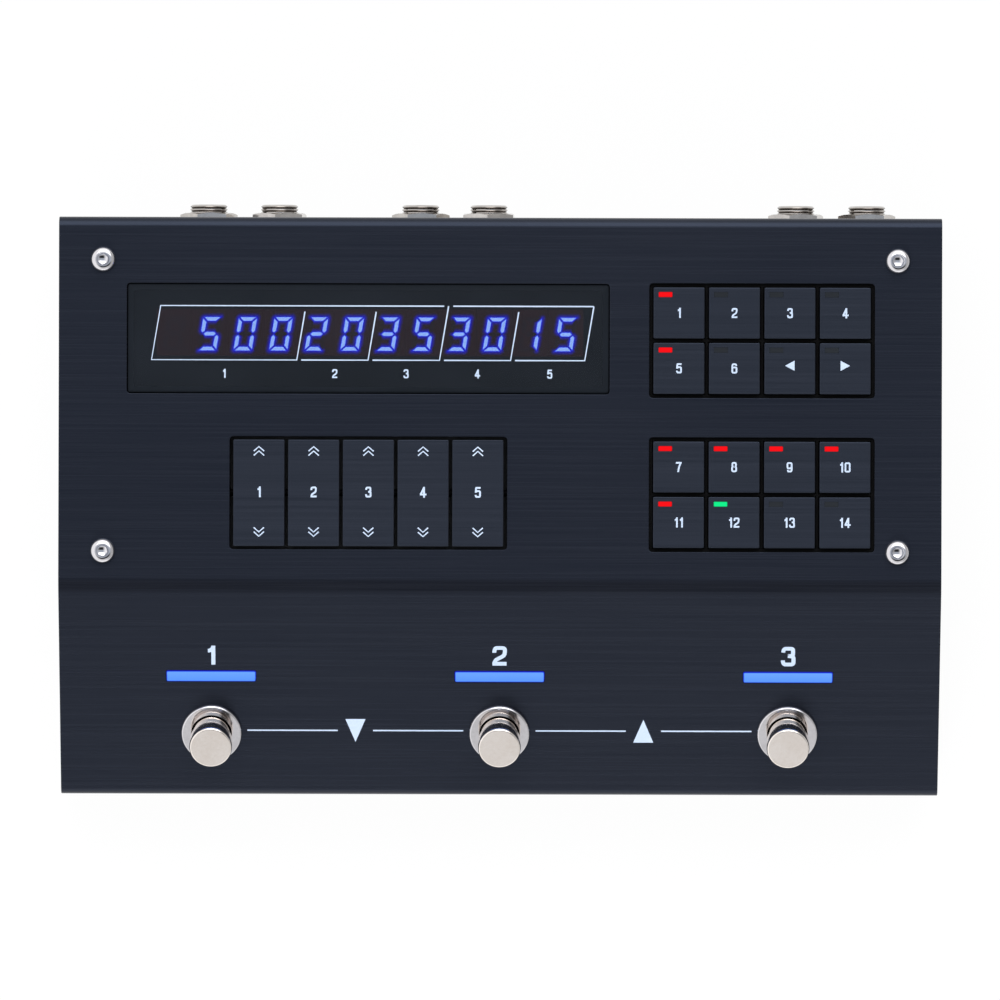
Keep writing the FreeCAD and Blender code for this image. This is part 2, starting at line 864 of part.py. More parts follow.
def key_leds():
    leds = []
    for x, y in key_places(upper_keys_top) + key_places(lower_row_top):
        light_x, light_y = light_place(x, y)
        leds.append(block(light_x, light_y, led_length, led_width, panel_board_top,
                          panel_board_top + led_height))
    return group(leds)


def main_board():
    """The board above the floor plate that carries the sockets and the processors."""
    reach = half_width - main_board_from_side
    board = box(-reach, reach, bend_y - main_board_front, rear_y - main_board_from_rear,
                main_board_top - board_thickness, main_board_top)
    holes = [pillar(x, y, board_screw_radius + pass_play, main_board_top - 2 * board_thickness,
                    main_board_top + cut_past) for x, y in main_post_places()]
    return board.cut(holes)


def board_posts():
    """Hexagon posts: one set stands on the floor plate, the other hangs from the deck."""
    posts = []
    low_top = main_board_top - board_thickness
    for x, y in main_post_places():
        hole = pillar(0, 0, board_screw_radius + thread_play, low_top - board_screw_length,
                      low_top + cut_past)
        posts.append(moved(hexagon(post_width, plate_top, low_top).cut(hole), x, y, 0))
    for x, y in panel_post_places():
        hole = pillar(0, 0, board_screw_radius + thread_play, panel_board_top - cut_past,
                      panel_board_top + board_screw_length)
        posts.append(moved(hexagon(post_width, panel_board_top, deck_under).cut(hole), x, y, 0))
    return group(posts)


def board_screws():
    """Small screws: down into the floor posts, and up into the deck posts and the key frame."""
    length = board_screw_length + board_thickness - rest_gap
    screw = pan_screw(board_screw_radius, length, board_head_radius, board_head_height)
    down = screw.copy()
    down.rotate(Vector(0, 0, 0), Vector(1, 0, 0), 180)
    solids = [moved(down, x, y, main_board_top) for x, y in main_post_places()]
    low = panel_board_top - board_thickness
    solids += [moved(screw, x, y, low) for x, y in panel_post_places() + frame_post_places()]
    return group(solids)


def circuit_chips():
    """Processor, memory and converters on the main board, with a row of tall capacitors."""
    y = bend_y + chips_from_bend
    top = main_board_top + chip_height
    chips = [block(0, y, processor_size, processor_size, main_board_top, top)]
    for side in (-1, 1):
        chips.append(block(side * converter_offset, y, converter_size, converter_size, main_board_top, top))
        chips.append(block(side * memory_offset, y, memory_width, memory_length, main_board_top, top))
    for index in range(capacitor_count):
        x = power_place + capacitor_pitch * (index - (capacitor_count - 1) / 2)
        chips.append(pillar(x, y + capacitors_behind_chips, capacitor_radius, main_board_top,
                            main_board_top + capacitor_height))
    return group(chips)


def ribbon_cable():
    """A flat cable between a plug under the panel board and a plug on the main board."""
    x = (display_left + display_width + keys_left) / 2
    y = bend_y + panel_board_from_bend + ribbon_from_board_edge
    top = panel_board_top - board_thickness
    plug_low = main_board_top + connector_height
    plug_high = top - connector_height
    return group([
        block(x, y, connector_length, connector_width, plug_high, top),
        block(x, y, ribbon_width, ribbon_thickness, plug_low, plug_high),
        block(x, y, connector_length, connector_width, main_board_top, plug_low),
    ])


# Footswitches, in the frame of the slope

def cavity_top():
    return -sheet - lock_nut_thickness - footswitch_wall


def cavity_floor():
    return -sheet - lock_nut_thickness - footswitch_body_depth + footswitch_wall


def flange_bottom():
    return cavity_top() - stop_gap - stop_flange_thickness


def spigot_bottom():
    return flange_bottom() - spigot_length


def footswitch_plunger():
    """A chromed cap on a stem, with a stop flange and a spigot inside the switch."""
    cap_radius = stem_radius + cap_overhang
    flat = cap_radius - cap_edge_in
    side_top = cap_top - cap_edge_down
    flange_radius = stem_radius + stop_flange
    edges = [round_over(cap_radius, side_top, flat, cap_top)]
    edges += chain([
        (flat, cap_top),
        (0, cap_top),
        (0, spigot_bottom()),
        (spigot_radius, spigot_bottom()),
        (spigot_radius, flange_bottom()),
        (flange_radius, flange_bottom()),
        (flange_radius, cavity_top() - stop_gap),
        (stem_radius, cavity_top() - stop_gap),
        (stem_radius, cap_bottom),
        (cap_radius - cap_bottom_edge, cap_bottom),
        (cap_radius, cap_bottom + cap_bottom_edge),
        (cap_radius, side_top),
    ])
    return turned(edges)


def footswitch_ring():
    """The chromed dress nut around the stem: it screws onto the bushing and hides its end."""
    hole = stem_radius + stem_play
    thread = bushing_radius + thread_play
    roof = ring_thickness - ring_roof
    edges = chain([
        (thread, 0),
        (ring_radius, 0),
        (ring_radius, ring_thickness - ring_edge_down),
        (ring_radius - ring_edge_in, ring_thickness),
        (hole, ring_thickness),
        (hole, roof),
        (thread, roof),
        (thread, 0),
    ])
    return turned(edges)


def footswitch_body():
    """The switch case with its threaded bushing, an open cavity for the spring and four terminals."""
    top = -sheet - lock_nut_thickness
    bottom = top - footswitch_body_depth
    case = rounded_block(0, 0, footswitch_body_width, footswitch_body_width, bottom, top,
                         footswitch_corner)
    bushing = pillar(0, 0, bushing_radius, top, ring_thickness - ring_roof - stop_gap)
    bore = pillar(0, 0, stem_radius + stem_play, cavity_top() - cut_past, ring_thickness)
    cavity_radius = stem_radius + stop_flange + stem_play
    cavity = pillar(0, 0, cavity_radius, cavity_floor(), cavity_top())
    contact = pillar(0, 0, contact_radius, cavity_floor(), spigot_bottom() - footswitch_travel - rest_gap)
    reach = footswitch_body_width / 4
    places = [(x, y) for x in (-reach, reach) for y in (-reach, reach)]
    terminals = [block(x, y, terminal_width, terminal_thickness, bottom - terminal_length, bottom)
                 for x, y in places]
    return case.fuse(bushing).cut([bore, cavity]).fuse([contact] + terminals).removeSplitter()


def footswitch_spring():
    """The coil spring between the stop flange and the floor of the cavity."""
    low = cavity_floor() + spring_wire / 2 + stop_gap
    high = flange_bottom() - spring_wire / 2 - stop_gap
    rise = (high - low) / spring_turns
    path = Part.makeHelix(rise, high - low, spring_radius)
    wire = Part.Wire([Part.makeCircle(spring_wire / 2, Vector(spring_radius, 0, 0), Vector(0, 1, 0))])
    coil = Part.Wire(path).makePipeShell([wire], True, True)
    return moved(coil, 0, 0, low)


def lock_nut():
    """The nut between the panel and the switch case."""
    return hexagon(lock_nut_width, -sheet - lock_nut_thickness, -sheet).cut(
        pillar(0, 0, bushing_radius + thread_play, -sheet - lock_nut_thickness - cut_past, 0))


def footswitches():
    nodes = {}
    for index, x in enumerate(switch_places()):
        number = index + 1
        nodes["footswitch_plunger_%d" % number] = on_slope(footswitch_plunger(), x, switch_from_bend)
        nodes["footswitch_body_%d" % number] = on_slope(footswitch_body(), x, switch_from_bend)
        nodes["footswitch_spring_%d" % number] = on_slope(footswitch_spring(), x, switch_from_bend)
    nodes["footswitch_rings"] = group([on_slope(footswitch_ring(), x, switch_from_bend)
                                       for x in switch_places()])
    nodes["footswitch_nuts"] = group([on_slope(lock_nut(), x, switch_from_bend)
                                      for x in switch_places()])
    return nodes


# Light bars, in the frame of the slope

def light_bar():
    """A clear bar through the slot, with a flange behind the panel and a leg at each end."""
    face = rounded_block(0, 0, bar_length, bar_width, -sheet - bar_flange_thickness, bar_proud, bar_corner)
    length = bar_length + 2 * bar_flange
    width = bar_width + 2 * bar_flange
    low = -sheet - bar_flange_thickness
    flange = block(0, 0, length, width, low, -sheet)
    leg_x = (length - bar_leg_length) / 2
    legs = [block(side * leg_x, 0, bar_leg_length, width, low - bar_leg_height, low) for side in (-1, 1)]
    return face.fuse([flange] + legs).removeSplitter()


def light_bar_board():
    """A strip of board under the legs of a light bar, with three lights on it."""
    top = -sheet - bar_flange_thickness - bar_leg_height
    length = bar_length + 2 * bar_flange
    width = bar_width + 2 * bar_flange
    solids = [block(0, 0, length, width, top - bar_board_thickness, top)]
    for step in (-1, 0, 1):
        solids.append(block(step * bar_length / 4, 0, led_length, led_width, top, top + led_height))
    return solids


def light_bars():
    bars = [on_slope(light_bar(), x, bar_from_bend) for x in switch_places()]
    boards = []
    for x in switch_places():
        for solid in light_bar_board():
            boards.append(on_slope(solid, x, bar_from_bend))
    return {"light_bars": group(bars), "light_bar_boards": group(boards)}


# Sockets, in the frame of the rear wall

def jack_body_length():
    return jack_bore_depth - jack_reach - sheet + jack_end_wall


def jack_socket():
    """A jack: its case stands on the main board and its bushing comes out through the wall.
    The plug goes into one long bore."""
    length = jack_body_length()
    case = rounded_block(0, 0, jack_body_width, jack_body_height, -sheet - length, -sheet,
                         jack_corner)
    bushing = pillar(0, 0, jack_bushing_radius, -sheet, jack_reach)
    tip = [edge for edge in bushing.Edges if edge.BoundBox.ZMin > jack_reach / 2]
    bushing = bushing.makeChamfer(jack_tip_edge, tip)
    bore = pillar(0, 0, jack_bore_radius, jack_reach - jack_bore_depth, jack_reach + cut_past)
    return case.fuse(bushing).cut(bore).removeSplitter()


def jack_nut(turn):
    """A hexagon nut with its outer corners turned away."""
    low = jack_washer_thickness
    high = low + jack_nut_thickness
    reach = jack_nut_width / math.sqrt(3)
    nut = hexagon(jack_nut_width, low, high, turn)
    cone = turned(chain([(0, low), (jack_nut_width, low), (jack_nut_width, high - jack_nut_edge),
                         (reach, high - jack_nut_edge), (jack_nut_face, high), (0, high), (0, low)]))
    hole = pillar(0, 0, jack_bushing_radius + thread_play, low - cut_past, high + cut_past)
    return nut.common(cone).cut(hole)


def jack_washer():
    disc = pillar(0, 0, jack_washer_radius, 0, jack_washer_thickness)
    return disc.cut(pillar(0, 0, jack_bushing_radius + thread_play, -cut_past, cut_past))


def mini_socket():
    """A small jack socket whose nose ends flush with the outside of the wall."""
    length = mini_bore_depth - sheet + jack_end_wall
    case = block(0, 0, mini_body, mini_body, -sheet - length, -sheet)
    nose = pillar(0, 0, mini_nose_radius, -sheet, 0)
    bore = pillar(0, 0, mini_bore_radius, -mini_bore_depth, cut_past)
    return case.fuse(nose).cut(bore)


def usb_socket():
    """A flat oval metal shell with a contact tongue inside."""
    corner = usb_height / 2 - seam
    shell = rounded_block(0, 0, usb_width, usb_height, -usb_depth, -seam, corner)
    inner = rounded_block(0, 0, usb_width - 2 * usb_wall, usb_height - 2 * usb_wall,
                          usb_back_wall - usb_depth, cut_past, corner - usb_wall)
    tongue = block(0, 0, usb_tongue_width, usb_tongue_thickness, usb_back_wall / 2 - usb_depth,
                   -usb_tongue_recess)
    return shell.cut(inner).fuse(tongue)


def power_inlet():
    """The barrel inlet with its centre pin, for an outside power supply."""
    case = block(0, 0, power_body_width, power_body_height, -sheet - power_body_depth, -sheet)
    nose = pillar(0, 0, power_nose_radius, -sheet, 0)
    bore = pillar(0, 0, power_bore_radius, -power_bore_depth, cut_past)
    pin = pillar(0, 0, power_pin_radius, -power_bore_depth, -power_pin_recess)
    return case.fuse(nose).cut(bore).fuse(pin)


def sockets():
    nuts = [on_rear_wall(jack_nut(turn), x, jack_z) for x, turn in zip(jack_places, jack_nut_turns)]
    washers = [on_rear_wall(jack_washer(), x, jack_z) for x in jack_places]
    mini_z = main_board_top + mini_body / 2
    return {
        "jack_sockets": group([on_rear_wall(jack_socket(), x, jack_z) for x in jack_places]),
        "jack_nuts": group(nuts + washers),
        "mini_sockets": group([on_rear_wall(mini_socket(), x, mini_z) for x in mini_places]),
        "usb_socket": on_rear_wall(usb_socket(), usb_place, main_board_top + usb_height / 2),
        "power_inlet": on_rear_wall(power_inlet(), power_place, main_board_top + power_body_height / 2),
    }


def all_nodes():
    nodes = {
        "top_cover": top_cover(),
        "left_side_panel": side_panel(-1),
        "right_side_panel": side_panel(1),
        "bottom_plate": bottom_plate(),
        "display_window": display_window(),
        "display_digits": display_digits(),
        "key_frame": key_frame(),
        "rocker_frame": rocker_frame(),
        "rocker_axle": rocker_axle(),
        "panel_board": panel_board(),
        "key_switches": key_switches(),
        "key_leds": key_leds(),
        "main_board": main_board(),
        "board_posts": board_posts(),
        "board_screws": board_screws(),
        "circuit_chips": circuit_chips(),
        "ribbon_cable": ribbon_cable(),
    }
    nodes.update(fasteners())
    nodes.update(square_keys())
    nodes.update(rocker_keys())
    nodes.update(footswitches())
    nodes.update(light_bars())
    nodes.update(sockets())
    return nodes


os.makedirs("parts", exist_ok=True)
for name, shape in all_nodes().items():
    shape.exportStep("parts/%s.step" % name)
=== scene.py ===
import math
import bmesh
import bpy
from mathutils import Matrix, Vector


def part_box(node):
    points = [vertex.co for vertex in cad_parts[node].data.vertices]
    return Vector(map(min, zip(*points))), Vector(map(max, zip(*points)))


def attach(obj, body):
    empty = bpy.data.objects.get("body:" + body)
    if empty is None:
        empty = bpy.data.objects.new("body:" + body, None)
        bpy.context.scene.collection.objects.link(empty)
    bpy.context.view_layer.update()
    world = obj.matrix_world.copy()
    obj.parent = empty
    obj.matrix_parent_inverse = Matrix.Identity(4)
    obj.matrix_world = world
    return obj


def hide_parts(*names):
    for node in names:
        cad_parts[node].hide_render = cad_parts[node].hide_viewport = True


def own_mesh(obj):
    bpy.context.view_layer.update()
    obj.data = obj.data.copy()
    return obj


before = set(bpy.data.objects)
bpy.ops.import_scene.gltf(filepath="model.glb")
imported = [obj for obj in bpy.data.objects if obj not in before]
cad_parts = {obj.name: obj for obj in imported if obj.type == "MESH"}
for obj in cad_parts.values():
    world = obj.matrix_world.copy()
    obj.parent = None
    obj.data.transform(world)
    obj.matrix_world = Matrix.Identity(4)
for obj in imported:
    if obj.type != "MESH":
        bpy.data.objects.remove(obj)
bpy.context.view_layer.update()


# The stand
# The pedal lies on a sheet of white paper. The camera hangs three metres over its deck and looks
# straight down, turned a trifle, as in the photograph.

stand = bpy.context.scene
stand.view_settings.view_transform = "Standard"

camera_over_deck = 3.0
deck_in_view = 0.2778
camera_turn = 0.15
sensor = 36.0
camera = bpy.data.objects.new("camera", bpy.data.cameras.new("camera"))
camera.data.sensor_width = sensor
camera.data.lens = sensor * camera_over_deck / deck_in_view
camera.data.clip_start = 0.1
camera.data.clip_end = 30.0
camera.location = (0, 0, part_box("top_cover")[1].z + camera_over_deck)
camera.rotation_euler = (0, 0, math.radians(camera_turn))
stand.collection.objects.link(camera)
stand.camera = camera


def tone(red, green, blue):
    """A colour as it looks on a screen, 0 to 255, as the light that a shader works with."""
    shares = [value / 255 for value in (red, green, blue)]
    return [share / 12.92 if share <= 0.04045 else ((share + 0.055) / 1.055) ** 2.4
            for share in shares] + [1]


def step(tree, kind, inputs=None, **settings):
    """Adds one shader node. Inputs that are sockets are wired, and the others are set."""
    made = tree.nodes.new("ShaderNode" + kind)
    for name, value in settings.items():
        setattr(made, name, value)
    for name, value in (inputs or {}).items():
        if isinstance(value, bpy.types.NodeSocket):
            tree.links.new(value, made.inputs[name])
        else:
            made.inputs[name].default_value = value
    return made


def blank(name):
    """A material with an empty node tree and its output."""
    material = bpy.data.materials.new(name)
    material.use_nodes = True
    material.node_tree.nodes.clear()
    output = material.node_tree.nodes.new("ShaderNodeOutputMaterial")
    return material, material.node_tree, output


def shades(tree, value, *stops):
    """A colour that follows value: stops are (place, colour)."""
    made = step(tree, "ValToRGB", {"Fac": value})
    ramp = made.color_ramp
    while len(ramp.elements) < len(stops):
        ramp.elements.new(0.5)
    for element, (place, colour) in zip(ramp.elements, stops):
        element.position = place
        element.color = colour
    return made.outputs["Color"]


paper_size = 8.0
paper_tone = tone(250, 250, 250)
paper_light_tone = tone(252, 252, 252)
paper_own_light = 0.95
paper_fibre = 900.0
mesh = bmesh.new()
bmesh.ops.create_grid(mesh, x_segments=1, y_segments=1, size=paper_size / 2)
floor = bpy.data.objects.new("floor", bpy.data.meshes.new("floor"))
mesh.to_mesh(floor.data)
mesh.free()
stand.collection.objects.link(floor)

paper, tree, output = blank("paper")
spots = step(tree, "TexCoord")
fibre = step(tree, "TexNoise", {"Vector": spots.outputs["Object"], "Scale": paper_fibre})
card = step(tree, "BsdfDiffuse", {"Color": shades(tree, fibre.outputs["Fac"], (0.3, paper_tone),
                                                  (0.7, paper_light_tone))})
glow = step(tree, "Emission", {"Color": (1, 1, 1, 1), "Strength": 1.0})
rays = step(tree, "LightPath")
seen = step(tree, "Math", {0: rays.outputs["Is Camera Ray"], 1: rays.outputs["Is Glossy Ray"]},
            operation="MAXIMUM")
seen = step(tree, "Math", {0: seen.outputs[0], 1: rays.outputs["Is Transmission Ray"]},
            operation="MAXIMUM")
share = step(tree, "Math", {0: seen.outputs[0], 1: paper_own_light}, operation="MULTIPLY")
mixed = step(tree, "MixShader", {"Fac": share.outputs[0], 1: card.outputs[0], 2: glow.outputs[0]})
tree.links.new(mixed.outputs[0], output.inputs["Surface"])
floor.data.materials.append(paper)


# The light
# A white tent stands round the pedal: bright in front, behind and at the sides, and darker overhead,
# where the camera looks through its roof. One soft bank in front casts the shadows to the rear.

tent = bpy.data.worlds.new("tent")
stand.world = tent
tent.use_nodes = True
tree = tent.node_tree
tree.nodes.clear()
output = tree.nodes.new("ShaderNodeOutputWorld")
spots = step(tree, "TexCoord")
parts = step(tree, "SeparateXYZ", {"Vector": spots.outputs["Generated"]})
lean = step(tree, "Math", {0: parts.outputs["Y"], 1: parts.outputs["Z"]}, operation="ARCTAN2")
turn = step(tree, "MapRange", {"Value": lean.outputs[0], "From Min": -math.pi / 2,
                               "From Max": math.pi / 2, "To Min": 0.0, "To Max": 1.0})
tent_white = 3.0
roof_tint = (0.84, 0.92, 1.05)
right_wall, left_wall = 0.5, 1.1


def tent_grey(level, tint=(1.0, 1.0, 1.02)):
    share = level / tent_white
    return (*(share * part for part in tint), 1)


def at_lean(degrees):
    """Place on the ramp of a direction that leans from straight up towards the rear."""
    return (degrees + 90) / 180


roof = shades(
    tree, turn.outputs["Result"],
    (at_lean(-85), tent_grey(1.40)),
    (at_lean(-60), tent_grey(0.76)),
    (at_lean(-37), tent_grey(0.72)),
    (at_lean(-30), tent_grey(0.03, roof_tint)),
    (at_lean(-12), tent_grey(0.03, roof_tint)),
    (at_lean(-4), tent_grey(0.58, roof_tint)),
    (at_lean(12), tent_grey(0.58, roof_tint)),
    (at_lean(24), tent_grey(3.6)),
    (at_lean(55), tent_grey(3.6)),
    (at_lean(80), tent_grey(1.0)),
)
walls = roof
for side, level, start, full in ((1, right_wall, 0.35, 0.7), (-1, left_wall, 0.12, 0.45)):
    aside = step(tree, "Math", {0: parts.outputs["X"], 1: side}, operation="MULTIPLY")
    aside = step(tree, "MapRange", {"Value": aside.outputs[0], "From Min": start, "From Max": full})
    walls = step(tree, "Mix", {"Factor": aside.outputs[0], "A": walls, "B": tent_grey(level)},
                 data_type="RGBA").outputs["Result"]
rays = step(tree, "LightPath")
inside = step(tree, "Background", {"Color": walls, "Strength": tent_white})
outside = step(tree, "Background", {"Color": (1, 1, 1, 1), "Strength": 1.0})
mixed = step(tree, "MixShader", {"Fac": rays.outputs["Is Camera Ray"], 1: inside.outputs[0],
                                 2: outside.outputs[0]})
tree.links.new(mixed.outputs[0], output.inputs["Surface"])


def bank(name, place, width, height, watts):
    """A soft bank of lamps that faces the pedal and doesn't show in its polished parts."""
    lamp = bpy.data.lights.new(name, "AREA")
    lamp.shape = "RECTANGLE"
    lamp.size = width
    lamp.size_y = height
    lamp.energy = watts
    holder = bpy.data.objects.new(name, lamp)
    holder.location = place
    holder.rotation_euler = (-Vector(place)).to_track_quat("-Z", "Y").to_euler()
    holder.visible_camera = False
    holder.visible_glossy = False
    stand.collection.objects.link(holder)


bank("front_bank", (-0.15, -1.6, 1.2), 0.7, 0.4, 20.0)


# The folded cover
# One sheet of 1.5 mm metal, brushed across the pedal and coated in satin blue-black. It is punched
# for the display, the keys, the switches and the sockets, and folded on a press brake.

mm = 0.001
coat_gloss = 0.32
coat_tint = (0.56, 0.69, 1.0, 1)
fine_hairs = (22, 3600, 3600)
long_hairs = (9, 1500, 1500)


def span(node):
    """The lowest and highest corner of a CAD node, in millimetres."""
    low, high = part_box(node)
    return low / mm, high / mm


def middle(node):
    low, high = span(node)
    return (low + high) / 2


def brushed(name, dark, light, roughness, grain):
    """Metal or plastic with fine hairlines along X: two close tones, and a shallow grain."""
    material, tree, output = blank(name)
    spots = step(tree, "TexCoord")
    fine_map = step(tree, "Mapping", {"Vector": spots.outputs["Object"], "Scale": fine_hairs})
    fine = step(tree, "TexNoise", {"Vector": fine_map.outputs[0], "Scale": 1.0, "Detail": 3.0,
                                   "Roughness": 0.6})
    long_map = step(tree, "Mapping", {"Vector": spots.outputs["Object"], "Scale": long_hairs})
    long = step(tree, "TexNoise", {"Vector": long_map.outputs[0], "Scale": 1.0, "Detail": 4.0,
                                   "Roughness": 0.65})
    cloud = step(tree, "TexNoise", {"Vector": spots.outputs["Object"], "Scale": 9.0, "Detail": 2.0})
    lines = step(tree, "Math", {0: fine.outputs["Fac"], 1: long.outputs["Fac"]}, operation="ADD")
    lines = step(tree, "Math", {0: cloud.outputs["Fac"], 1: 0.5, 2: lines.outputs[0]},
                 operation="MULTIPLY_ADD")
    lines = step(tree, "Math", {0: lines.outputs[0], 1: 2.5}, operation="DIVIDE")
    colour = shades(tree, lines.outputs[0], (0.4, dark), (0.6, light))
    rough = step(tree, "MapRange", {"Value": long.outputs["Fac"], "From Min": 0.3, "From Max": 0.7,
                                    "To Min": roughness - 0.05, "To Max": roughness + 0.05})
    relief = step(tree, "Bump", {"Height": fine.outputs["Fac"], "Strength": grain, "Distance": 0.00002})
    shader = step(tree, "BsdfPrincipled", {"Base Color": colour, "Roughness": rough.outputs[0],
                                           "Normal": relief.outputs[0], "Specular IOR Level": coat_gloss,
                                           "Specular Tint": coat_tint})
    tree.links.new(shader.outputs[0], output.inputs["Surface"])
    return material


def piece(name, mesh, materials, body, slot, *nodes, crease=50):
    """Makes one finished piece of a bmesh in millimetres. Edges turning more than crease stay sharp."""
    bmesh.ops.transform(mesh, matrix=Matrix.Scale(mm, 4), verts=mesh.verts)
    for face in mesh.faces:
        face.smooth = True
    for edge in mesh.edges:
        edge.smooth = len(edge.link_faces) == 2 and edge.calc_face_angle() < math.radians(crease)
    made = bpy.data.objects.new(name, bpy.data.meshes.new(name))
    mesh.to_mesh(made.data)
    mesh.free()
    for material in materials:
        made.data.materials.append(material)
    stand.collection.objects.link(made)
    even = made.modifiers.new("even_shading", "WEIGHTED_NORMAL")
    even.keep_sharp = True
    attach(made, body)
    if nodes:
        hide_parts(*nodes)
    return made


def block(mesh, low, high, corner=0.0, steps=5):
    """Adds a block between two corners, with its upright edges rounded, and returns its faces."""
    low, high = Vector(low), Vector(high)
    size = high - low
    place = Matrix.Translation((low + high) / 2) @ Matrix.Diagonal((size.x, size.y, size.z, 1))
    verts = bmesh.ops.create_cube(mesh, size=1, matrix=place)["verts"]
    faces = set(face for vert in verts for face in vert.link_faces)
    if corner:
        upright = [edge for edge in set(edge for vert in verts for edge in vert.link_edges)
                   if abs(edge.verts[0].co.z - edge.verts[1].co.z) > size.z / 2]
        rounded = bmesh.ops.bevel(mesh, geom=upright, offset=corner, offset_type="OFFSET",
                                  segments=steps, profile=0.5, affect="EDGES", material=-1)
        faces = set(face for face in faces if face.is_valid) | set(rounded["faces"])
    return list(faces)


def ease(mesh, amount, beyond=35, steps=2):
    """Takes the sharpness off every edge that turns by more than so many degrees."""
    sharp = [edge for edge in mesh.edges if len(edge.link_faces) == 2
             and edge.calc_face_angle() > math.radians(beyond)]
    bmesh.ops.bevel(mesh, geom=sharp, offset=amount, offset_type="OFFSET", segments=steps,
                    profile=0.5, affect="EDGES", material=-1, clamp_overlap=True)


def rod(mesh, x, y, radius, low, high, steps=48):
    place = Matrix.Translation((x, y, (low + high) / 2))
    bmesh.ops.create_cone(mesh, cap_ends=True, segments=steps, radius1=radius, radius2=radius,
                          depth=high - low, matrix=place)


deck_depth = 102.7
slope_angle = math.radians(22.5)
sheet = 1.5
edge_bend = 2.8
deck_bend = 12.5
floor_flange = 12.0
cover_low, cover_high = span("top_cover")
deck = cover_high.z
bend_line = cover_high.y - deck_depth
slope_foot = deck - (bend_line - cover_low.y) * math.tan(slope_angle)
window_low, window_high = span("display_window")


def on_slope(x, down):
    """Local z is out of the slope, and down is the distance from the bend along it."""
    y = bend_line - down * math.cos(slope_angle)
    z = deck - down * math.sin(slope_angle)
    return Matrix.Translation((x, y, z)) @ Matrix.Rotation(slope_angle, 4, "X")


def on_rear(x, z):
    """Local z is out of the rear wall."""
    return Matrix.Translation((x, cover_high.y, z)) @ Matrix.Rotation(-math.pi / 2, 4, "X")


def fold(mesh, y, z, radius, turn, steps):
    """Rounds the fold along the corner at (y, z), where the sheet turns by that many radians."""
    corner = [edge for edge in mesh.edges
              if all((Vector((0, y, z)) - Vector((0, vert.co.y, vert.co.z))).length < 0.01
                     for vert in edge.verts)]
    bmesh.ops.bevel(mesh, geom=corner, offset=radius * math.tan(turn / 2), offset_type="OFFSET",
                    segments=steps, profile=0.5, affect="EDGES", material=-1)


def moved(mesh, grown, by):
    """Moves the new vertices that an extrusion gave."""
    bmesh.ops.translate(mesh, vec=by,
                        verts=[item for item in grown["geom"] if isinstance(item, bmesh.types.BMVert)])


def folded_sheet():
    """The outer skin as a strip, folded over its corners."""
    mesh = bmesh.new()
    outline = [
        (cover_low.y + floor_flange, cover_low.z),
        (cover_low.y, cover_low.z),
        (cover_low.y, slope_foot),
        (bend_line, deck),
        (cover_high.y, deck),
        (cover_high.y, cover_low.z),
        (cover_high.y - floor_flange, cover_low.z),
    ]
    line = [mesh.verts.new((cover_high.x, y, z)) for y, z in outline]
    edges = [mesh.edges.new(pair) for pair in zip(line, line[1:])]
    swept = bmesh.ops.extrude_edge_only(mesh, edges=edges)
    moved(mesh, swept, (cover_low.x - cover_high.x, 0, 0))
    square = math.pi / 2
    for y, z in (outline[1], outline[4], outline[5]):
        fold(mesh, y, z, edge_bend, square, 10)
    fold(mesh, *outline[2], edge_bend, square - slope_angle, 10)
    fold(mesh, *outline[3], deck_bend, slope_angle, 12)
    bmesh.ops.recalc_face_normals(mesh, faces=mesh.faces)
    return mesh


panel_corner = 0.95
key_margin = 1.1
rocker_margins = (1.0, 0.85)
slot_corner = 0.5
bar_size = (24.8, 3.05)
bar_play = 0.1
bar_down = 27.15
switch_down = 44.15
switch_xs = [middle("footswitch_body_%d" % number).x for number in (1, 2, 3)]
bushing_hole = 6.42
jack_hole = 5.3
jack_xs = (-81.8, -62.0, -22.4, -3.3, 82.7, 102.6)
jack_z = middle("jack_nuts").z
mini_xs = (16.0, 29.0)
mini_hole = 2.95
key_names = ["number_key_1", "number_key_2", "number_key_3", "number_key_4",
             "bank_key_1", "bank_key_2", "left_arrow_key", "right_arrow_key"]
function_names = ["function_key_%d" % number for number in range(1, 9)]
rocker_names = ["rocker_key_%d" % number for number in range(1, 6)]
key_rim = 0.42
power_hole = 4.05
data_socket_play = 0.2
data_socket_round = 0.95


def around(names, rim, margins):
    """The rectangle of an opening round a block of keys."""
    lows, highs = zip(*[span(name) for name in names])
    low = [min(corner[axis] for corner in lows) + rim - margins[axis] for axis in (0, 1)]
    high = [max(corner[axis] for corner in highs) - rim + margins[axis] for axis in (0, 1)]
    return low, high


window_flange = 2.0
window_frame = ([window_low.x + window_flange, window_low.y + window_flange],
                [window_high.x - window_flange, window_high.y - window_flange])
panel_openings = [
    window_frame,
    around(key_names, key_rim, (key_margin, key_margin)),
    around(function_names, key_rim, (key_margin, key_margin)),
    around(rocker_names, 0, rocker_margins),
]


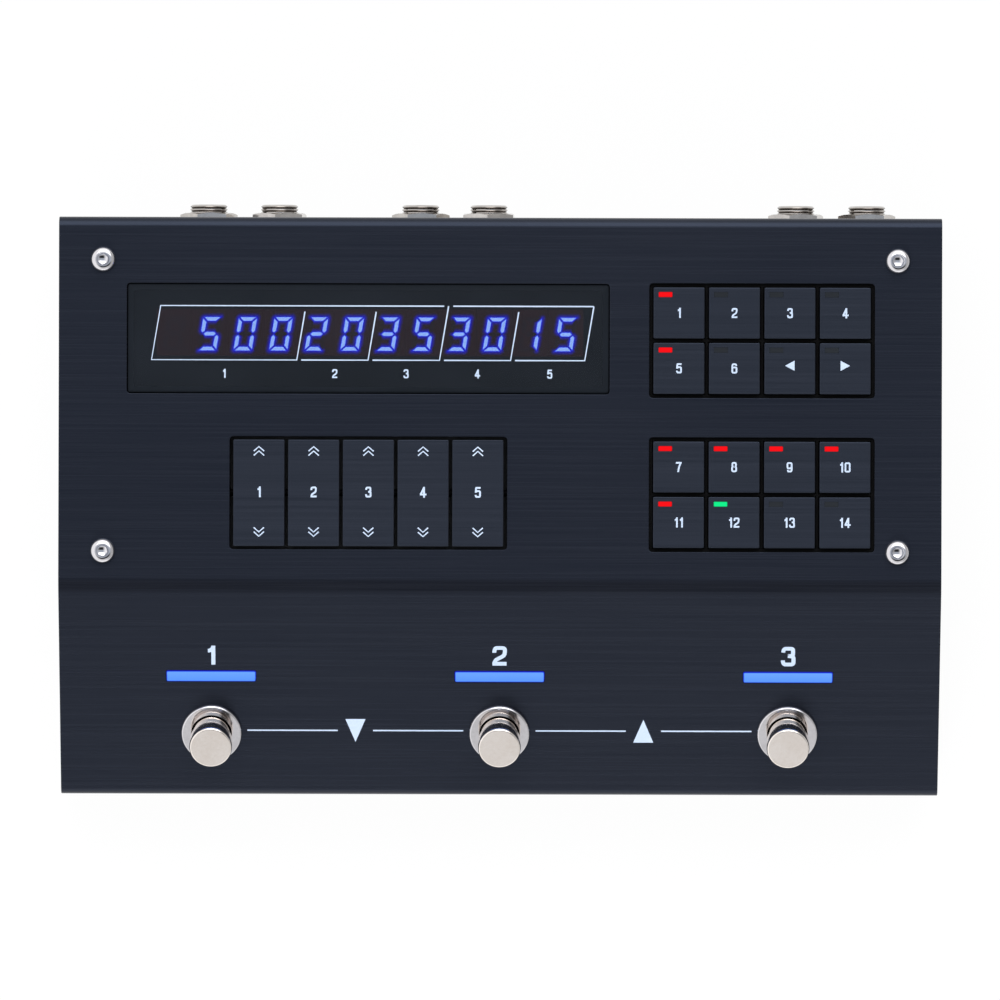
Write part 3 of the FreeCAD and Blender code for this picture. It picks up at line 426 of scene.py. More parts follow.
def punches():
    """Everything that is punched out of the sheet, as one mesh of separate solids."""
    through = 2 * sheet
    mesh = bmesh.new()
    for low, high in panel_openings:
        block(mesh, (*low, deck - through), (*high, deck + through), panel_corner)
    for x in switch_xs:
        local = bmesh.new()
        rod(local, 0, 0, bushing_hole, -through, through)
        join(mesh, local, on_slope(x, switch_down))
        half = Vector((bar_size[0] / 2 + bar_play, bar_size[1] / 2 + bar_play, through))
        local = bmesh.new()
        block(local, -half, half, slot_corner)
        join(mesh, local, on_slope(x, bar_down))
    mini_z = middle("mini_sockets").z
    power = middle("power_inlet")
    holes = [(x, jack_z, jack_hole) for x in jack_xs] + [(x, mini_z, mini_hole) for x in mini_xs]
    holes.append((power.x, power.z, power_hole))
    for x, z, radius in holes:
        local = bmesh.new()
        rod(local, 0, 0, radius, -through, through)
        join(mesh, local, on_rear(x, z))
    low, high = span("usb_socket")
    half = Vector(((high.x - low.x) / 2 + data_socket_play, (high.z - low.z) / 2 + data_socket_play,
                   through))
    local = bmesh.new()
    block(local, -half, half, half.y * data_socket_round, 8)
    join(mesh, local, on_rear((low.x + high.x) / 2, (low.z + high.z) / 2))
    return mesh


def join(mesh, other, place=Matrix()):
    """Adds the other mesh to this one at its place, and uses it up."""
    bmesh.ops.transform(other, matrix=place, verts=other.verts)
    carrier = bpy.data.meshes.new("carrier")
    other.to_mesh(carrier)
    other.free()
    mesh.from_mesh(carrier)
    bpy.data.meshes.remove(carrier)


def on_bench(mesh):
    """Lays a mesh in an object of its own for a while, and uses it up."""
    data = bpy.data.meshes.new("work")
    mesh.to_mesh(data)
    mesh.free()
    work = bpy.data.objects.new("work", data)
    stand.collection.objects.link(work)
    return work


def worked(item):
    """The mesh of an object as its modifiers or its curve make it."""
    bpy.context.view_layer.update()
    graph = bpy.context.evaluated_depsgraph_get()
    carrier = bpy.data.meshes.new_from_object(item.evaluated_get(graph))
    result = bmesh.new()
    result.from_mesh(carrier)
    bpy.data.meshes.remove(carrier)
    return result


def off_bench(*items):
    for item in items:
        data = item.data
        bpy.data.objects.remove(item)
        bpy.data.meshes.remove(data)


def cut(mesh, cutters):
    """The mesh without the cutters, worked out by a Boolean."""
    whole, gone = on_bench(mesh), on_bench(cutters)
    away = whole.modifiers.new("cut", "BOOLEAN")
    away.operation = "DIFFERENCE"
    away.solver = "EXACT"
    away.object = gone
    result = worked(whole)
    off_bench(whole, gone)
    return result


def thick(mesh, wall):
    """Gives a strip its thickness on the inner side."""
    strip = on_bench(mesh)
    wall_maker = strip.modifiers.new("wall", "SOLIDIFY")
    wall_maker.thickness = wall
    wall_maker.offset = -1
    wall_maker.use_even_offset = True
    result = worked(strip)
    off_bench(strip)
    return result


cover_edge = 0.2
satin_black = brushed("satin_black", tone(18, 20, 26), tone(26, 28, 34), 0.26, 0.5)
cover = cut(thick(folded_sheet(), sheet), punches())
ease(cover, cover_edge, 40)
piece("cover", cover, [satin_black], "enclosure", "brushed_cover", "top_cover")


# The side panels
# Each side wall is a sheet that stands inside the cover, flush with its edge, and is folded in under
# the deck and over the floor plate. It has the cover's colour in a fine matt coat.

panel_gap = 0.05
panel_edge = 0.3
panel_flange = 15.5
floor_clear = 13.0
clinch_nut = (3.4, 3.0)
deck_screws_low, deck_screws_high = span("deck_screws")
screw_head_radius = 3.5


def speckled(name, dark, light, roughness, grain, metallic=0.0, relief=0.25, clouds=60.0, gloss=0.5):
    """Moulded, coated or plated stuff: two close tones in fine specks over slow clouds."""
    material, tree, output = blank(name)
    spots = step(tree, "TexCoord")
    fine = step(tree, "TexNoise", {"Vector": spots.outputs["Object"], "Scale": grain, "Detail": 4.0,
                                   "Roughness": 0.7})
    cloud = step(tree, "TexNoise", {"Vector": spots.outputs["Object"], "Scale": clouds, "Detail": 3.0})
    both = step(tree, "Math", {0: fine.outputs["Fac"], 1: cloud.outputs["Fac"]}, operation="ADD")
    both = step(tree, "Math", {0: both.outputs[0], 1: 2.0}, operation="DIVIDE")
    colour = shades(tree, both.outputs[0], (0.38, dark), (0.62, light))
    rough = step(tree, "MapRange", {"Value": both.outputs[0], "From Min": 0.35, "From Max": 0.65,
                                    "To Min": roughness * 0.85, "To Max": roughness * 1.15})
    bumps = step(tree, "Bump", {"Height": fine.outputs["Fac"], "Strength": relief, "Distance": 0.00003})
    shader = step(tree, "BsdfPrincipled", {"Base Color": colour, "Roughness": rough.outputs[0],
                                           "Metallic": metallic, "Normal": bumps.outputs[0],
                                           "Specular IOR Level": gloss})
    tree.links.new(shader.outputs[0], output.inputs["Surface"])
    return material


def side_wall(side):
    """The wall on one side, side being -1 or 1, with its two folded flanges and clinched nuts."""
    inset = sheet + panel_gap
    outline = [
        (cover_low.y + inset, cover_low.z + inset, edge_bend),
        (cover_high.y - inset, cover_low.z + inset, edge_bend),
        (cover_high.y - inset, deck - inset, edge_bend),
        (bend_line + inset * math.tan(slope_angle / 2), deck - inset, deck_bend),
        (cover_low.y + inset, slope_foot - inset * math.cos(slope_angle) / (1 + math.sin(slope_angle)),
         edge_bend),
    ]
    turns = [math.pi / 2, math.pi / 2, math.pi / 2, slope_angle, math.pi / 2 - slope_angle]
    outer = side * cover_high.x
    mesh = bmesh.new()
    corners = [mesh.verts.new((outer, y, z)) for y, z, radius in outline]
    mesh.faces.new(corners)
    for corner, (y, z, radius), turn in zip(corners, outline, turns):
        bmesh.ops.bevel(mesh, geom=[corner], offset=(radius - inset) * math.tan(turn / 2),
                        offset_type="OFFSET", segments=8, profile=0.5, affect="VERTICES", material=-1)
    moved(mesh, bmesh.ops.extrude_face_region(mesh, geom=list(mesh.faces)), (-side * sheet, 0, 0))
    bmesh.ops.recalc_face_normals(mesh, faces=mesh.faces)
    ease(mesh, panel_edge, 60)
    flange_top = deck - inset
    inside = side * (cover_high.x - sheet / 2)
    reach = sorted((inside, side * (cover_high.x - panel_flange)))
    block(mesh, (reach[0], bend_line + deck_bend * math.tan(slope_angle / 2), flange_top - sheet),
          (reach[1], cover_high.y - sheet - edge_bend, flange_top))
    reach = sorted((inside, side * (cover_high.x - floor_flange)))
    block(mesh, (reach[0], cover_low.y + floor_clear, cover_low.z),
          (reach[1], cover_high.y - floor_clear, cover_low.z + sheet))
    radius, height = clinch_nut
    x = side * (deck_screws_high.x - screw_head_radius)
    for y in (deck_screws_low.y + screw_head_radius, deck_screws_high.y - screw_head_radius):
        rod(mesh, x, y, radius, flange_top - sheet - height, flange_top - sheet, 32)
    return mesh


side_coat = speckled("side_coat", tone(23, 29, 41), tone(30, 36, 49), 0.5, 1900.0, gloss=coat_gloss)
piece("left_panel", side_wall(-1), [side_coat], "enclosure", "side_sheet", "left_side_panel")
piece("right_panel", side_wall(1), [side_coat], "enclosure", "side_sheet", "right_side_panel")


# The boards
# Two laminate boards in black lacquer: the main board on brass posts above the floor plate, and the
# panel board hung below the deck. Their traces run straight across, and their parts are soldered down.

board_trace = 620.0


def finish(material, *nodes):
    """Gives CAD nodes that stay as they are their surface."""
    for node in nodes:
        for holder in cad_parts[node].material_slots:
            holder.material = material


def laminate():
    """Black lacquer over copper traces, which show as raised lighter lines in blocks."""
    material, tree, output = blank("black_laminate")
    spots = step(tree, "TexCoord")
    traces = step(tree, "TexBrick", {"Vector": spots.outputs["Object"], "Scale": board_trace,
                                     "Color1": (1, 1, 1, 1), "Color2": (0.2, 0.2, 0.2, 1),
                                     "Mortar": (0, 0, 0, 1), "Mortar Size": 0.12, "Brick Width": 4.0,
                                     "Row Height": 0.6})
    cloud = step(tree, "TexNoise", {"Vector": spots.outputs["Object"], "Scale": 90.0, "Detail": 3.0})
    mixed = step(tree, "Math", {0: traces.outputs["Color"], 1: cloud.outputs["Fac"]},
                 operation="MULTIPLY")
    colour = shades(tree, mixed.outputs[0], (0.05, tone(15, 16, 18)), (0.6, tone(31, 33, 36)))
    bumps = step(tree, "Bump", {"Height": traces.outputs["Color"], "Strength": 0.4, "Distance": 0.00004})
    shader = step(tree, "BsdfPrincipled", {"Base Color": colour, "Roughness": 0.35,
                                           "Normal": bumps.outputs[0]})
    tree.links.new(shader.outputs[0], output.inputs["Surface"])
    return material


ribbon_pitch = 1.27


def ribbon():
    """Grey flat cable: one rib for each wire, side by side across the ribbon."""
    material, tree, output = blank("grey_ribbon")
    spots = step(tree, "TexCoord")
    waves = step(tree, "TexWave", {"Vector": spots.outputs["Object"],
                                   "Scale": math.pi / (10 * ribbon_pitch * mm), "Distortion": 0.0},
                 wave_type="BANDS", bands_direction="X")
    # The colour darkens with the relief into the grooves between the ribs: painted shade.
    colour = shades(tree, waves.outputs["Fac"], (0.1, tone(120, 121, 124)), (0.7, tone(176, 177, 180)))
    bumps = step(tree, "Bump", {"Height": waves.outputs["Fac"], "Strength": 0.8, "Distance": 0.0003})
    shader = step(tree, "BsdfPrincipled", {"Base Color": colour, "Roughness": 0.55,
                                           "Normal": bumps.outputs[0]})
    tree.links.new(shader.outputs[0], output.inputs["Surface"])
    return material


finish(laminate(), "main_board", "panel_board", "light_bar_boards")
finish(ribbon(), "ribbon_cable")
finish(speckled("brass_post", tone(196, 178, 132), tone(222, 206, 160), 0.3, 1400.0, 1.0), "board_posts")
finish(speckled("zinc_screw", tone(176, 178, 182), tone(204, 206, 210), 0.36, 1600.0, 1.0),
       "board_screws", "footswitch_nuts")
finish(speckled("chip_resin", tone(24, 24, 26), tone(40, 40, 42), 0.6, 2600.0), "circuit_chips")
finish(speckled("clear_resin", tone(214, 202, 168), tone(236, 226, 196), 0.25, 900.0), "key_leds")
black_moulding = speckled("black_moulding", tone(12, 12, 14), tone(22, 22, 24), 0.55, 2200.0)
finish(black_moulding, "key_switches")


# The jack sockets
# Six moulded cases stand on the main board. Their threaded bushings of nickelled brass come out
# through the rear wall, where a washer and a hexagon nut hold each one.

jack_case = (17.0, 16.0)
jack_case_corner = 0.8
jack_case_length = 27.0
jack_bore = 3.25
jack_bore_depth = 26.0
bore_lead = 0.35
bushing_radius = 5.25
bushing_reach = 4.0
bushing_play = 0.05
thread_from_wall = 0.1
thread_pitch = 0.9
thread_depth = 0.5
tip_edge = 0.45
washer_radius = 7.2
washer_thickness = 0.35
washer_edge = 0.1
nut_width = 14.0
nut_thickness = 1.35
nut_face = 6.85
nut_edge = 0.5
nut_lead = 0.3
nut_turns = (8.0, 22.0, 3.0, 27.0, 16.0, 5.0)


def lathe(points, steps=64):
    """Turns an outline of (radius, height) points about local z."""
    mesh = bmesh.new()
    line = [mesh.verts.new((radius, 0, height)) for radius, height in points]
    edges = [mesh.edges.new(pair) for pair in zip(line, line[1:])]
    bmesh.ops.spin(mesh, geom=line + edges, cent=(0, 0, 0), axis=(0, 0, 1), angle=2 * math.pi,
                   steps=steps, use_merge=True)
    bmesh.ops.remove_doubles(mesh, verts=mesh.verts, dist=0.0005)
    bmesh.ops.recalc_face_normals(mesh, faces=mesh.faces)
    return mesh


def repeated(pattern, places):
    """One mesh with a copy of the pattern at each place. The pattern is used up."""
    mesh = bmesh.new()
    for place in places:
        join(mesh, pattern.copy(), place)
    pattern.free()
    return mesh


def thread(radius, low, high):
    """Outline points of a thread, from the low end to a ridge at the high one."""
    shape = ((0, 0), (0.2, 0), (0.42, 0.5), (0.6, 1), (0.78, 0.5))
    turns = int((high - low) / thread_pitch)
    first = high - turns * thread_pitch
    return [(radius, low)] + [(radius - thread_depth * deep, first + thread_pitch * (turn + along))
                              for turn in range(turns) for along, deep in shape] + [(radius, high)]


def bushing():
    """The threaded bushing from the inside of the wall to its tip. The roots of the thread are duller,
    and darker as painted shade.
    """
    outline = [(jack_bore, -sheet), (bushing_radius, -sheet)]
    outline += thread(bushing_radius, thread_from_wall - sheet, bushing_reach - tip_edge)
    outline += [(bushing_radius - tip_edge, bushing_reach), (jack_bore + bore_lead, bushing_reach),
                (jack_bore, bushing_reach - bore_lead), (jack_bore, -sheet)]
    mesh = lathe(outline)
    for face in mesh.faces:
        out = face.calc_center_median().xy.length
        if bushing_radius - thread_depth < out < bushing_radius - thread_depth / 2:
            face.material_index = 1
    return mesh


def case_with_bore(width, height, length, radius, depth, corner):
    """A moulded case behind the rear wall with a round bore from its front."""
    case = bmesh.new()
    block(case, (-width / 2, -height / 2, -sheet - length), (width / 2, height / 2, -sheet), corner)
    bore = bmesh.new()
    rod(bore, 0, 0, radius, -depth, sheet)
    return cut(case, bore)


def hexagon_nut(turn):
    """The nut with its corners turned away at the outer end."""
    nut = bmesh.new()
    high = washer_thickness + nut_thickness
    reach = nut_width / math.sqrt(3)
    bmesh.ops.create_cone(nut, cap_ends=True, segments=6, radius1=reach, radius2=reach,
                          depth=nut_thickness,
                          matrix=Matrix.Translation((0, 0, high - nut_thickness / 2)))
    bmesh.ops.rotate(nut, matrix=Matrix.Rotation(math.radians(turn + 90), 3, "Z"), verts=nut.verts)
    bore = bushing_radius + bushing_play
    gone = lathe([(0, -1), (bore, -1), (bore, high - nut_lead), (bore + nut_lead, high),
                  (nut_face, high), (reach + 0.1, high - nut_edge), (reach + 2, high - nut_edge),
                  (reach + 2, high + 1), (0, high + 1), (0, -1)])
    return cut(nut, gone)


def washer():
    bore = bushing_radius + bushing_play
    return lathe([(bore, 0), (washer_radius, 0), (washer_radius, washer_thickness - washer_edge),
                  (washer_radius - washer_edge, washer_thickness), (bore, washer_thickness), (bore, 0)])


jack_places = [on_rear(x, jack_z) for x in jack_xs]
nickel = speckled("nickel", tone(184, 180, 176), tone(206, 202, 197), 0.1, 700.0, 1.0,
                  relief=0.05, clouds=240.0)
case = case_with_bore(*jack_case, jack_case_length, jack_bore, jack_bore_depth, jack_case_corner)
piece("jack_cases", repeated(case, jack_places), [black_moulding], "enclosure", "socket_metal",
      "jack_sockets")
# Darker nickel in the thread roots: painted shade in the grooves.
thread_root_shade = speckled("thread_root_shade", tone(124, 118, 113), tone(146, 140, 135), 0.35, 900.0, 1.0)
piece("jack_bushings", repeated(bushing(), jack_places), [nickel, thread_root_shade], "enclosure",
      "socket_metal", "jack_sockets", crease=35)
nuts = bmesh.new()
for place, turn in zip(jack_places, nut_turns):
    join(nuts, hexagon_nut(turn), place)
    join(nuts, washer(), place)
piece("jack_nuts_and_washers", nuts, [nickel], "enclosure", "bright_nickel", "jack_nuts", crease=25)


# The small sockets
# Two small jacks, a data socket with a bright drawn shell and the inlet for an outside supply stand
# on the main board, and end flush with the outside of the rear wall.

finish(black_moulding, "mini_sockets", "power_inlet")
finish(speckled("drawn_shell", tone(190, 192, 196), tone(216, 218, 222), 0.3, 1500.0, 1.0),
       "usb_socket")


# The footswitches
# Each is a moulded case with a threaded bushing through the slope, a coil spring, a nickelled cap on
# its stem and a turned ring that screws down over the bushing.

cap_radius = 5.95
cap_low = 6.2
cap_high = 11.1
cap_edge_in = 0.55
cap_edge_down = 1.0
cap_under_edge = 0.2
stem_radius = 5.32
tail_radius = 3.0
tail_length = 4.5
flange_radius = 6.52
flange_high = -5.55
flange_thickness = 1.5
ring_radius = 8.55
ring_high = 1.6
ring_edge_in = 0.6
ring_edge_down = 1.2
ring_hole = 5.62
ring_thread = 6.42
ring_roof = 1.0
ring_lip = 0.15
turned_steps = 96
spring_radius = 4.6
spring_wire = 0.8
spring_turns = 6
steps_in_turn = 28
spring_low, spring_high = -18.05, -7.5


def round_over(outer, low, inner, high, steps=7):
    """Outline points over a quarter of an oval, from (outer, low) in to (inner, high)."""
    return [(inner + (outer - inner) * math.cos(math.pi / 2 * count / steps),
             low + (high - low) * math.sin(math.pi / 2 * count / steps)) for count in range(steps + 1)]


def switch_cap():
    """The cap, its stem, the flange that stops it and the tail that works the switch."""
    flange_low = flange_high - flange_thickness
    outline = [(0, cap_high)]
    outline += reversed(round_over(cap_radius, cap_high - cap_edge_down, cap_radius - cap_edge_in,
                                   cap_high))
    outline += [(cap_radius, cap_low + cap_under_edge), (cap_radius - cap_under_edge, cap_low),
                (stem_radius, cap_low), (stem_radius, flange_high), (flange_radius, flange_high),
                (flange_radius, flange_low), (tail_radius, flange_low),
                (tail_radius, flange_low - tail_length), (0, flange_low - tail_length)]
    return lathe(outline, turned_steps)


def switch_ring():
    outline = [(ring_thread, 0), (ring_radius, 0)]
    outline += round_over(ring_radius, ring_high - ring_edge_down, ring_radius - ring_edge_in, ring_high)
    outline += [(ring_hole + ring_lip, ring_high), (ring_hole, ring_high - ring_lip),
                (ring_hole, ring_roof), (ring_thread, ring_roof), (ring_thread, 0)]
    return lathe(outline, turned_steps)


worn_nickel = speckled("worn_nickel", tone(238, 229, 220), tone(246, 239, 232), 0.1, 900.0, 1.0,
                       relief=0.03, clouds=120.0)
ring_nickel = speckled("ring_nickel", tone(212, 210, 212), tone(226, 224, 226), 0.07, 900.0, 1.0,
                       relief=0.02, clouds=120.0)
for number, x in enumerate(switch_xs, 1):
    body = "footswitch_plunger_%d" % number
    cap = repeated(switch_cap(), [on_slope(x, switch_down)])
    piece("footswitch_cap_%d" % number, cap, [worn_nickel], body, "bright_nickel", body, crease=40)
rings = repeated(switch_ring(), [on_slope(x, switch_down) for x in switch_xs])
piece("switch_rings", rings, [ring_nickel], "enclosure", "bright_nickel", "footswitch_rings", crease=40)
finish(speckled("switch_case", tone(14, 14, 15), tone(26, 26, 28), 0.45, 1800.0),
       "footswitch_body_1", "footswitch_body_2", "footswitch_body_3")


def switch_spring():
    """A coil of round wire between the floor of the case and the flange of the cap's stem."""
    mesh = bmesh.new()
    across = Matrix.Translation((spring_radius, 0, spring_low)) @ Matrix.Rotation(math.pi / 2, 4, "X")
    bmesh.ops.create_circle(mesh, cap_ends=False, radius=spring_wire / 2, segments=10, matrix=across)
    steps = spring_turns * steps_in_turn
    bmesh.ops.spin(mesh, geom=mesh.verts[:] + mesh.edges[:], cent=(0, 0, 0), axis=(0, 0, 1),
                   dvec=(0, 0, (spring_high - spring_low) / steps), angle=2 * math.pi * spring_turns,
                   steps=steps, use_merge=False)
    open_ends = [edge for edge in mesh.edges if len(edge.link_faces) == 1]
    bmesh.ops.holes_fill(mesh, edges=open_ends, sides=0)
    bmesh.ops.recalc_face_normals(mesh, faces=mesh.faces)
    return mesh


spring_steel = speckled("spring_steel", tone(168, 168, 170), tone(198, 198, 200), 0.3, 1200.0, 1.0)
for number, x in enumerate(switch_xs, 1):
    place = on_slope(x, switch_down)
    spring = piece("footswitch_coil_%d" % number, repeated(switch_spring(), [place]), [spring_steel],
                   "enclosure", "spring_steel", "footswitch_spring_%d" % number)
    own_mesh(spring)


# The light bars
# A clear moulded bar comes through a slot above each footswitch, lit from below by three blue lights.
# Its edges glow a deeper blue than its face.

bar_top = 0.2
bar_depth = 2.9
bar_corner = 0.4
bar_flange = 2.0
bar_leg = 3.0
bar_rim = 0.3
bar_overlap = 0.01
glow_at_rear, glow_at_front = 2.0, 1.3


def lit(name, rim, heart, strength, gloss=0.3, body=(0.002, 0.002, 0.003, 1), brightest=None):
    """A lit face: the attribute glow is 0 along its rim and 1 inside, and small flecks swim in it.
    Where the attribute goes on to 2, the face goes on to its brightest."""
    material, tree, output = blank(name)
    glow = step(tree, "Attribute", attribute_name="glow")
    spots = step(tree, "TexCoord")
    flecks = step(tree, "TexNoise", {"Vector": spots.outputs["Object"], "Scale": 700.0, "Detail": 2.0})
    shift = step(tree, "MapRange", {"Value": flecks.outputs["Fac"], "To Min": -0.06, "To Max": 0.06})
    value = step(tree, "Math", {0: glow.outputs["Fac"], 1: shift.outputs[0]}, operation="ADD")
    half = step(tree, "Math", {0: value.outputs[0], 1: 0.5}, operation="MULTIPLY")
    colour = shades(tree, half.outputs[0], (0.03, rim), (0.47, heart), (0.97, brightest or heart))
    shader = step(tree, "BsdfPrincipled", {"Base Color": body, "Roughness": gloss,
                                           "Specular IOR Level": 0.05,
                                           "Emission Color": colour, "Emission Strength": strength})
    tree.links.new(shader.outputs[0], output.inputs["Surface"])
    return material


def glow_inside(mesh, face, rim):
    """Insets a face and marks the inner part as lit."""
    bmesh.ops.inset_region(mesh, faces=[face], thickness=rim, depth=0.0, use_even_offset=True)
    layer = mesh.verts.layers.float.get("glow") or mesh.verts.layers.float.new("glow")
    for vert in face.verts:
        vert[layer] = 1.0


def top_face(mesh):
    return max(mesh.faces, key=lambda face: (face.normal.z > 0.9, face.calc_center_median().z))


def light_bar():
    low = -bar_depth
    half_x, half_y = bar_size[0] / 2, bar_size[1] / 2
    mesh = bmesh.new()
    mesh.verts.layers.float.new("glow")
    block(mesh, (-half_x, -half_y, low + bar_overlap), (half_x, half_y, bar_top), bar_corner)
    lit_face = top_face(mesh)
    glow_inside(mesh, lit_face, bar_rim)
    for vert in lit_face.verts:
        vert[mesh.verts.layers.float["glow"]] = glow_at_rear if vert.co.y > 0 else glow_at_front
    wide_x, wide_y = half_x + bar_flange, half_y + bar_flange
    block(mesh, (-wide_x, -wide_y, low), (wide_x, wide_y, -sheet))
    for side in (-1, 1):
        ends = sorted((side * wide_x, side * (wide_x - bar_leg)))
        block(mesh, (ends[0], -wide_y, low - bar_leg), (ends[1], wide_y, low))
    return mesh


bar_blue = lit("bar_blue", tone(14, 22, 205), tone(84, 146, 255), 1.0, brightest=tone(108, 166, 255))
bars = repeated(light_bar(), [on_slope(x, bar_down) for x in switch_xs])
piece("light_bar_faces", bars, [bar_blue], "enclosure", "blue_light", "light_bars")


# The digits
# Twelve single digit modules stand side by side on the panel board, behind the smoked pane. Each has
# a brown-black face with seven slanted segments and a point, and the lit ones bleed a deep blue.
# The faces and the unlit segments glow a faint brown, and the blue round the lit ones is a glow
# painted on the faces: both are painted light.

module_width = 9.8
module_pitch = 9.9
module_edge = 0.12
digit_width = 5.2
digit_height = 9.4
segment_width = 1.15
segment_gap = 0.27
segment_proud = 0.04
segment_rim = 0.17
digit_slant = math.radians(9.5)
digit_from_middle = -0.45
glow_near = 0.36
glow_far = 1.5
face_squares = 56
point_radius = 0.62
point_aside = 1.0
shown = " 50020353015"
segments_lit = {"0": "abcdef", "1": "bc", "2": "abdeg", "3": "abcdg", "5": "acdfg", " ": ""}
digits_low, digits_high = span("display_digits")
half_wide = (digit_width - segment_width) / 2
half_high = (digit_height - segment_width) / 2
top_left, top_right = (-half_wide, half_high), (half_wide, half_high)
mid_left, mid_right = (-half_wide, 0), (half_wide, 0)
low_left, low_right = (-half_wide, -half_high), (half_wide, -half_high)
segment_lines = {
    "a": (top_left, top_right), "b": (top_right, mid_right), "c": (low_right, mid_right),
    "d": (low_right, low_left), "e": (low_left, mid_left), "f": (top_left, mid_left),
    "g": (mid_left, mid_right),
}


def slanted(x, y, z):
    return Vector((x + y * math.tan(digit_slant), y, z))


def outline_of(letter):
    """The corners of a segment before it is slanted. Its ends are mitred at the figure's corners, and
    pointed at its waist."""
    first, second = (Vector(end) for end in segment_lines[letter])
    along = (second - first).normalized()
    outward = Vector((-along.y, along.x))
    if outward.dot(first + second) < 0:
        outward.negate()
    half = segment_width / 2
    outline = []
    for end, inward in ((first, along), (second, -along)):
        mitred = abs(end.y) > half and letter != "g"
        outer_gap = segment_gap - half if mitred else segment_gap + half
        corners = [end + outward * half + inward * outer_gap,
                   end + inward * segment_gap,
                   end - outward * half + inward * (segment_gap + half)]
        outline += corners if end == first else reversed(corners)
    return outline


def segment(letter, low, high):
    """A segment as a low slanted bar."""
    mesh = bmesh.new()
    mesh.verts.layers.float.new("glow")
    corners = [mesh.verts.new(slanted(corner.x, corner.y, low)) for corner in outline_of(letter)]
    face = mesh.faces.new(corners)
    moved(mesh, bmesh.ops.extrude_face_region(mesh, geom=[face]), (0, 0, high - low))
    bmesh.ops.recalc_face_normals(mesh, faces=mesh.faces)
    glow_inside(mesh, top_face(mesh), segment_rim)
    return mesh


def distance_to(place, outline):
    """How far a place is from an outline that bulges everywhere, and 0 inside it."""
    nearest = math.inf
    sides = set()
    for first, second in zip(outline, outline[1:] + outline[:1]):
        along = second - first
        share = max(0.0, min(1.0, (place - first).dot(along) / along.length_squared))
        nearest = min(nearest, (place - first - along * share).length)
        sides.add(along.cross(place - first) > 0)
    return nearest if len(sides) == 2 else 0.0


def bleed(distance):
    """How much painted blue glow the face shows so far from a lit segment: deep at first, and then a
    faint haze.
    """
    if distance < glow_near:
        return 1 - 0.5 * distance / glow_near
    return 0.5 * max(0.0, 1 - (distance - glow_near) / (glow_far - glow_near)) ** 2


def module(lit_segments):
    """One module, its face in fine squares that carry how much of the blue bleeds there."""
    length = digits_high.y - digits_low.y
    mesh = bmesh.new()
    layer = mesh.verts.layers.float.new("glow")
    block(mesh, (-module_width / 2, -length / 2, digits_low.z),
          (module_width / 2, length / 2, digits_high.z))
    ease(mesh, module_edge, 60, 1)
    bmesh.ops.subdivide_edges(mesh, edges=top_face(mesh).edges, cuts=face_squares, use_grid_fill=True)
    outlines = [outline_of(letter) for letter in lit_segments]
    for vert in mesh.verts:
        if vert.co.z > digits_high.z - module_edge / 2 and lit_segments:
            y = vert.co.y - digit_from_middle
            place = Vector((vert.co.x - y * math.tan(digit_slant), y))
            vert[layer] = bleed(min(distance_to(place, outline) for outline in outlines))
    return mesh


through_pane = 6.5
through_pane_lit = 7.15
face_brown = tone(84, 44, 50)
# The module faces and the unlit segments emit a faint brown, and the faces a blue glow round lit
# segments: painted light, not lamps.
digit_face = lit("digit_face", tone(28, 8, 5), tone(0, 0, 200), through_pane, 0.5, face_brown)
lit_blue = lit("lit_blue", tone(24, 50, 255), tone(142, 178, 255), through_pane_lit)
unlit_segment_painted_glow = lit("unlit_segment_painted_glow", tone(22, 8, 9), tone(20, 9, 12), through_pane, 0.5, face_brown)
modules = bmesh.new()
lit_parts = bmesh.new()
dark_parts = bmesh.new()
module_y = (digits_low.y + digits_high.y) / 2
for count, figure in enumerate(shown):
    place = Matrix.Translation((digits_low.x + module_width / 2 + count * module_pitch, module_y, 0))
    join(modules, module(segments_lit[figure]), place)
    raised = place @ Matrix.Translation((0, digit_from_middle, 0))
    for letter in segment_lines:
        part = segment(letter, digits_high.z, digits_high.z + segment_proud)
        join(lit_parts if letter in segments_lit[figure] else dark_parts, part, raised)
    point = lathe([(0, 0), (point_radius, 0), (point_radius, segment_proud), (0, segment_proud)], 24)
    beside = Matrix.Translation((half_wide + point_aside, -half_high, digits_high.z))
    join(dark_parts, point, raised @ beside)
piece("digit_modules", modules, [digit_face], "enclosure", "digit_case", "display_digits")
piece("lit_segments", lit_parts, [lit_blue], "enclosure", "digit_case", "display_digits")
piece("unlit_segments", dark_parts, [unlit_segment_painted_glow], "enclosure", "digit_case", "display_digits")


# The smoked pane
# A polished pane of smoked acrylic with a ground bevel round its face fills the opening over the
# digits. Its blacked flange lies behind the deck, and lines and field numbers are printed on its face.

pane_play = 0.3
pane_bevel = 1.55
pane_bevel_drop = 0.5
pane_corner = 0.6
pane_flange = 1.5
print_film = 0.05
print_width = 0.37


def smoked():
    """Clear smoked acrylic: half of the light goes through each of its faces."""
    material, tree, output = blank("smoked_acrylic")
    spots = step(tree, "TexCoord")
    cloud = step(tree, "TexNoise", {"Vector": spots.outputs["Object"], "Scale": 38.0, "Detail": 3.0})
    colour = shades(tree, cloud.outputs["Fac"], (0.35, tone(24, 29, 35)), (0.65, tone(30, 35, 42)))
    rough = step(tree, "MapRange", {"Value": cloud.outputs["Fac"], "To Min": 0.05, "To Max": 0.1})
    shader = step(tree, "BsdfPrincipled", {"Base Color": colour, "Roughness": rough.outputs[0],
                                           "IOR": 1.49, "Specular IOR Level": 0.3, "Alpha": 0.5})
    tree.links.new(shader.outputs[0], output.inputs["Surface"])
    return material


